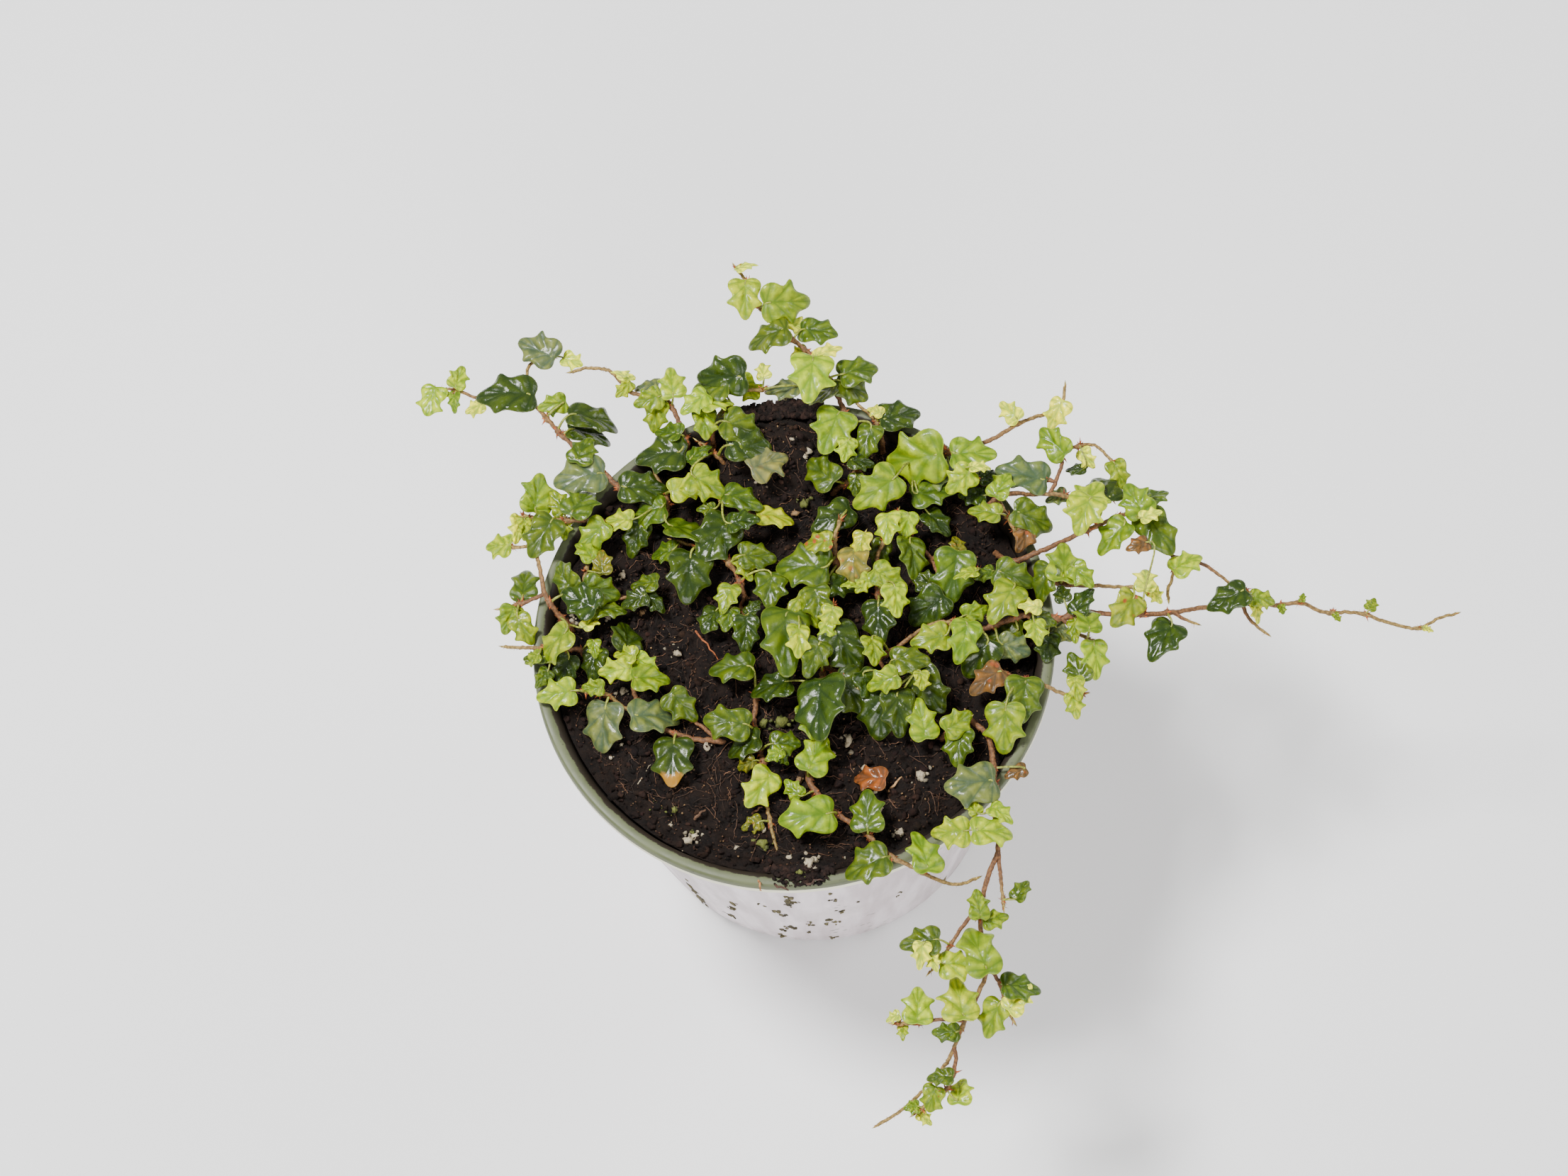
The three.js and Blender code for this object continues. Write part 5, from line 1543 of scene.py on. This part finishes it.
def leaf_material():
    shader = Shader("leaf_blade", Coat_Weight=0.22, Coat_Roughness=0.14, Specular_IOR_Level=0.25)
    spot = shader.spot("leaf")
    seed = shader.value("seed")
    position = shader.position()
    vein = main_vein(shader, spot)
    own_place = shader.vector("ADD", spot, shader.vector("SCALE", (1.0, 0.7, 0.0), scale=seed))
    bulge = shader.ramp(shader.cells(own_place, 6.0, "SMOOTH_F1"), 0.12, 0.60, 1.0, 0.0)
    line = shader.ramp(vein, 0.002, 0.03)
    dome = shader.ramp(vein, 0.0, 0.11)
    mottle = shader.ramp(shader.noise(position, 480), 0.36, 0.62)
    patch = shader.ramp(shader.noise(own_place, 3.4, 3.0), 0.38, 0.58)

    tint = shader.colour("tint")
    dark = shader.vector("MULTIPLY", tint, (0.42, 0.55, 0.75))
    bright = shader.vector("MULTIPLY", tint, (1.5, 1.36, 0.8))
    # Darker along the main veins and in the hollows between the cells, lighter on the raised domes. This is
    # partly the veins' own darker green and partly painted shade and light that follow the same relief as the
    # bump below. The cloud term adds the leaf's own blotches.
    vein_and_relief_shade = shader.math("ADD", shader.math("MULTIPLY", dome, 0.45), shader.math("MULTIPLY", bulge, 0.4))
    vein_and_relief_shade = shader.math("MULTIPLY", shader.math("ADD", vein_and_relief_shade, 0.15), shader.ramp(line, 0.0, 1.0, 0.35, 1.0))
    cloud = shader.math("ADD", shader.math("MULTIPLY", patch, 0.85), shader.math("MULTIPLY", mottle, 0.4))
    share = shader.math("MULTIPLY", vein_and_relief_shade, shader.math("ADD", cloud, 0.3), True)
    colour = shader.mix(share, dark, bright)

    edge = shader.value("edge")
    pale = shader.vector("ADD", shader.vector("MULTIPLY", tint, (1.2, 1.1, 1.1)), (0.05, 0.05, 0.015))
    colour = shader.mix(shader.ramp(edge, 0.955, 0.985, 0.0, 0.65), colour, pale)
    rust_spots = shader.ramp(shader.cells(own_place, 3.4, "F1"), 0.16, 0.30, 1.0, 0.0)
    most_rust = shader.math("MULTIPLY", shader.value("spots"), 0.9)
    rust_share = shader.math("MULTIPLY", rust_spots, most_rust, True)
    colour = shader.mix(rust_share, colour, rgba((158, 72, 30)))
    along, _, _ = shader.parts(spot)
    ragged_along = shader.math("ADD", along, shader.math("MULTIPLY", shader.noise(own_place, 7.0), 0.3))
    tip = shader.math("MULTIPLY", shader.ramp(ragged_along, 0.86, 0.98), shader.value("burnt"))
    colour = shader.mix(tip, colour, rgba((150, 108, 34)))
    under = shader.value("under")
    beneath = shader.vector("ADD", shader.vector("MULTIPLY", tint, (0.9, 0.95, 1.1)), (0.03, 0.035, 0.02))
    colour = shader.mix(under, colour, beneath)
    shader.base(colour)

    gloss = shader.value("gloss")
    rough = shader.math("SUBTRACT", 0.66, shader.math("MULTIPLY", gloss, 0.45))
    rough = shader.math("ADD", rough, shader.math("MULTIPLY", shader.noise(position, 900), 0.12))
    rough = shader.math("ADD", rough, shader.math("MULTIPLY", under, 0.2), True)
    shader.roughness(rough)
    height = shader.math("ADD", shader.math("MULTIPLY", dome, 0.45), shader.math("MULTIPLY", bulge, 0.7))
    pucker = shader.math("MULTIPLY", shader.noise(position, 520, 3.0), 0.5)
    shader.bump(shader.math("ADD", height, pucker), 0.00042)
    return shader.material


def stem_material():
    shader = Shader("stem_bark")
    position = shader.position()
    streak = shader.noise(position, 1300)
    tint = shader.colour("tint")
    dark = shader.vector("MULTIPLY", tint, (0.55, 0.5, 0.48))
    light = shader.vector("MULTIPLY", tint, (1.35, 1.3, 1.25))
    shader.base(shader.mix(shader.ramp(streak, 0.36, 0.66), dark, light))
    shader.roughness(shader.value("rough"))
    shader.bump(streak, 0.00015)
    return shader.material


def soil_material():
    shader = Shader("peat_soil", Specular_IOR_Level=0.25)
    position = shader.position()
    coarse = shader.noise(position, 210, 6.0, 0.65)
    fine = shader.noise(position, 1100, 6.0, 0.75)
    tint = shader.colour("tint")
    dark = shader.vector("MULTIPLY", tint, (0.35, 0.33, 0.34))
    light = shader.vector("MULTIPLY", tint, (1.9, 1.75, 1.7))
    grain = shader.math("ADD", shader.math("MULTIPLY", coarse, 0.6), shader.math("MULTIPLY", fine, 0.4))
    share = shader.ramp(grain, 0.36, 0.66)
    shader.base(shader.mix(share, dark, light))
    shader.roughness(shader.ramp(coarse, 0.35, 0.65, 0.75, 1.0))
    shader.bump(shader.math("ADD", coarse, fine), 0.0011)
    return shader.material


def grain_material():
    shader = Shader("perlite")
    position = shader.position()
    pits = shader.noise(position, 1700, 4.0, 0.6)
    tint = shader.colour("tint")
    dirt = shader.vector("MULTIPLY", tint, (0.5, 0.45, 0.38))
    shader.base(shader.mix(shader.ramp(pits, 0.34, 0.5), dirt, tint))
    shader.roughness(shader.ramp(pits, 0.3, 0.7, 0.6, 0.9))
    shader.bump(pits, 0.0003)
    return shader.material


def pot_outside_material():
    shader = Shader("pot_plastic_pale", Specular_IOR_Level=0.4)
    position = shader.position()
    _, _, height = shader.parts(position)
    stretched = shader.vector("MULTIPLY", position, (1.0, 1.0, 0.06))
    streaks = shader.noise(stretched, 160, 3.0, 0.5)
    clouds = shader.noise(position, 28, 4.0, 0.55)
    plastic = shader.mix(shader.ramp(streaks, 0.35, 0.65), rgba((196, 182, 186)), rgba((224, 213, 217)))
    plastic = shader.mix(shader.ramp(clouds, 0.50, 0.72, 0.0, 0.45), plastic, rgba((186, 176, 174)))
    runs = shader.noise(shader.vector("MULTIPLY", position, (1.0, 1.0, 0.16)), 75, 5.0, 0.6)
    plastic = shader.mix(shader.ramp(runs, 0.56, 0.72, 0.0, 0.28), plastic, rgba((150, 146, 136)))
    cream = shader.ramp(height, (POT_HEIGHT - RIM_DROP - 0.9) * MM, (POT_HEIGHT - RIM_DROP - 0.3) * MM)
    plastic = shader.mix(cream, plastic, rgba((226, 222, 196)))
    smear = shader.noise(shader.vector("MULTIPLY", position, (1.0, 1.0, 0.6)), 110, 6.0, 0.7)
    low = shader.ramp(height, 0.0, 0.012, 1.0, 0.0)
    amount = shader.math("ADD", shader.math("MULTIPLY", low, 0.6), 0.06)
    dirt = shader.math("MULTIPLY", shader.ramp(smear, 0.48, 0.62), amount)
    colour = shader.mix(dirt, plastic, rgba((112, 104, 92)))
    dots = shader.ramp(shader.cells(position, 260, "F1"), 0.10, 0.30, 1.0, 0.0)
    rare = shader.ramp(shader.noise(position, 46, 3.0), 0.55, 0.63)
    dotted = shader.math("MULTIPLY", dots, shader.math("MULTIPLY", rare, 0.75))
    colour = shader.mix(dotted, colour, rgba((104, 104, 84)))
    shader.base(colour)
    shader.roughness(shader.ramp(clouds, 0.3, 0.7, 0.42, 0.58))
    fine = shader.math("MULTIPLY", shader.noise(position, 700), 0.3)
    shader.bump(shader.math("ADD", streaks, fine), 0.00015)
    return shader.material


def pot_inside_material():
    shader = Shader("pot_plastic_green", Specular_IOR_Level=0.35)
    position = shader.position()
    clouds = shader.noise(position, 90, 4.0, 0.6)
    fine = shader.noise(position, 900, 3.0, 0.6)
    plastic = shader.mix(shader.ramp(clouds, 0.3, 0.7), rgba((80, 86, 58)), rgba((93, 99, 69)))
    splash = shader.noise(position, 330, 6.0, 0.7)
    out = shader.vector("LENGTH", shader.vector("MULTIPLY", position, (1, 1, 0)))
    out = shader.math("ADD", out, shader.math("MULTIPLY", shader.math("SUBTRACT", splash, 0.5), 0.002))
    # Everything inward of the flat rim top, the inner wall down to the soil, is painted soil-dark. This is
    # partly soil on the wall and partly painted shade of the wall above the soil. The scattered specks are
    # soil splashed on the plastic.
    painted_shade_and_soil = shader.ramp(out, (RIM_INNER_RADIUS + 0.8) * MM, (RIM_INNER_RADIUS + 1.2) * MM, 1.0, 0.0)
    specks = shader.ramp(splash, 0.60, 0.70, 0.0, 0.6)
    colour = shader.mix(shader.math("MAXIMUM", painted_shade_and_soil, specks), plastic, rgba((40, 33, 25)))
    shader.base(colour)
    shader.roughness(shader.ramp(clouds, 0.3, 0.7, 0.42, 0.6))
    shader.bump(shader.math("ADD", clouds, shader.math("MULTIPLY", fine, 0.3)), 0.0001)
    return shader.material


# ---------- floor, light and camera ----------
def build_stage():
    size = 3.0
    mesh = bpy.data.meshes.new("floor")
    corners = [(-size, -size, 0), (size, -size, 0), (size, size, 0), (-size, size, 0)]
    mesh.from_pydata(corners, [], [(0, 1, 2, 3)])
    material = bpy.data.materials.new("pale_floor")
    material.use_nodes = True
    surface = material.node_tree.nodes["Principled BSDF"]
    surface.inputs["Base Color"].default_value = (0.93, 0.93, 0.93, 1)
    surface.inputs["Roughness"].default_value = 0.9
    mesh.materials.append(material)
    floor = bpy.data.objects.new("floor", mesh)
    bpy.context.scene.collection.objects.link(floor)


def add_light(name, place_m, target_m, size_m, watts):
    data = bpy.data.lights.new(name, "AREA")
    data.shape = "DISK"
    data.size = size_m
    data.energy = watts
    lamp = bpy.data.objects.new(name, data)
    lamp.location = place_m
    lamp.rotation_euler = (Vector(target_m) - Vector(place_m)).to_track_quat("-Z", "Y").to_euler()
    bpy.context.scene.collection.objects.link(lamp)


def build_light():
    world = bpy.data.worlds.new("studio")
    world.use_nodes = True
    background = world.node_tree.nodes["Background"]
    background.inputs["Color"].default_value = (1.0, 1.0, 1.0, 1)
    background.inputs["Strength"].default_value = 0.48
    bpy.context.scene.world = world
    middle = (0.0, 0.0, POT_HEIGHT * MM)
    add_light("key", (-0.42, 0.16, 1.2), middle, 0.30, 25)
    add_light("front_fill", (0.2, -1.3, 0.75), middle, 0.9, 16)
    add_light("right", (1.1, 0.5, 0.9), middle, 0.6, 7)


CAMERA_TARGET = (-2.43, 14.97)
LENS = 59.64
SENSOR = 36


def build_camera():
    """The camera looks down steeply from the front, with the back of the pot up in the picture."""
    place_m = Vector((FAR_POINT[0], FAR_POINT[1], FAR_POINT[2] + POT_HEIGHT)) * MM
    target = Vector((*CAMERA_TARGET, POT_HEIGHT)) * MM
    back = (place_m - target).normalized()
    right = Vector((0, 1, 0)).cross(back).normalized()
    up = back.cross(right)
    data = bpy.data.cameras.new("camera")
    data.lens = LENS
    data.sensor_width = SENSOR
    camera = bpy.data.objects.new("camera", data)
    turn = Matrix((right, up, back)).transposed().to_4x4()
    camera.matrix_world = Matrix.Translation(place_m) @ turn
    bpy.context.scene.collection.objects.link(camera)
    bpy.context.scene.camera = camera


# ---------- the object ----------
def main():
    build_camera()
    build_light()
    build_stage()
    soil_look = soil_material()
    stem_look = stem_material()
    build_plant({"leaf": leaf_material(), "stem": stem_look})
    pot_piece({"pot_outside": pot_outside_material(), "pot_inside": pot_inside_material()})
    speck_piece(soil_look)
    soil_piece(soil_look)
    crumb_piece(soil_look)
    fibre_piece(stem_look)
    grain_piece(grain_material())


main()
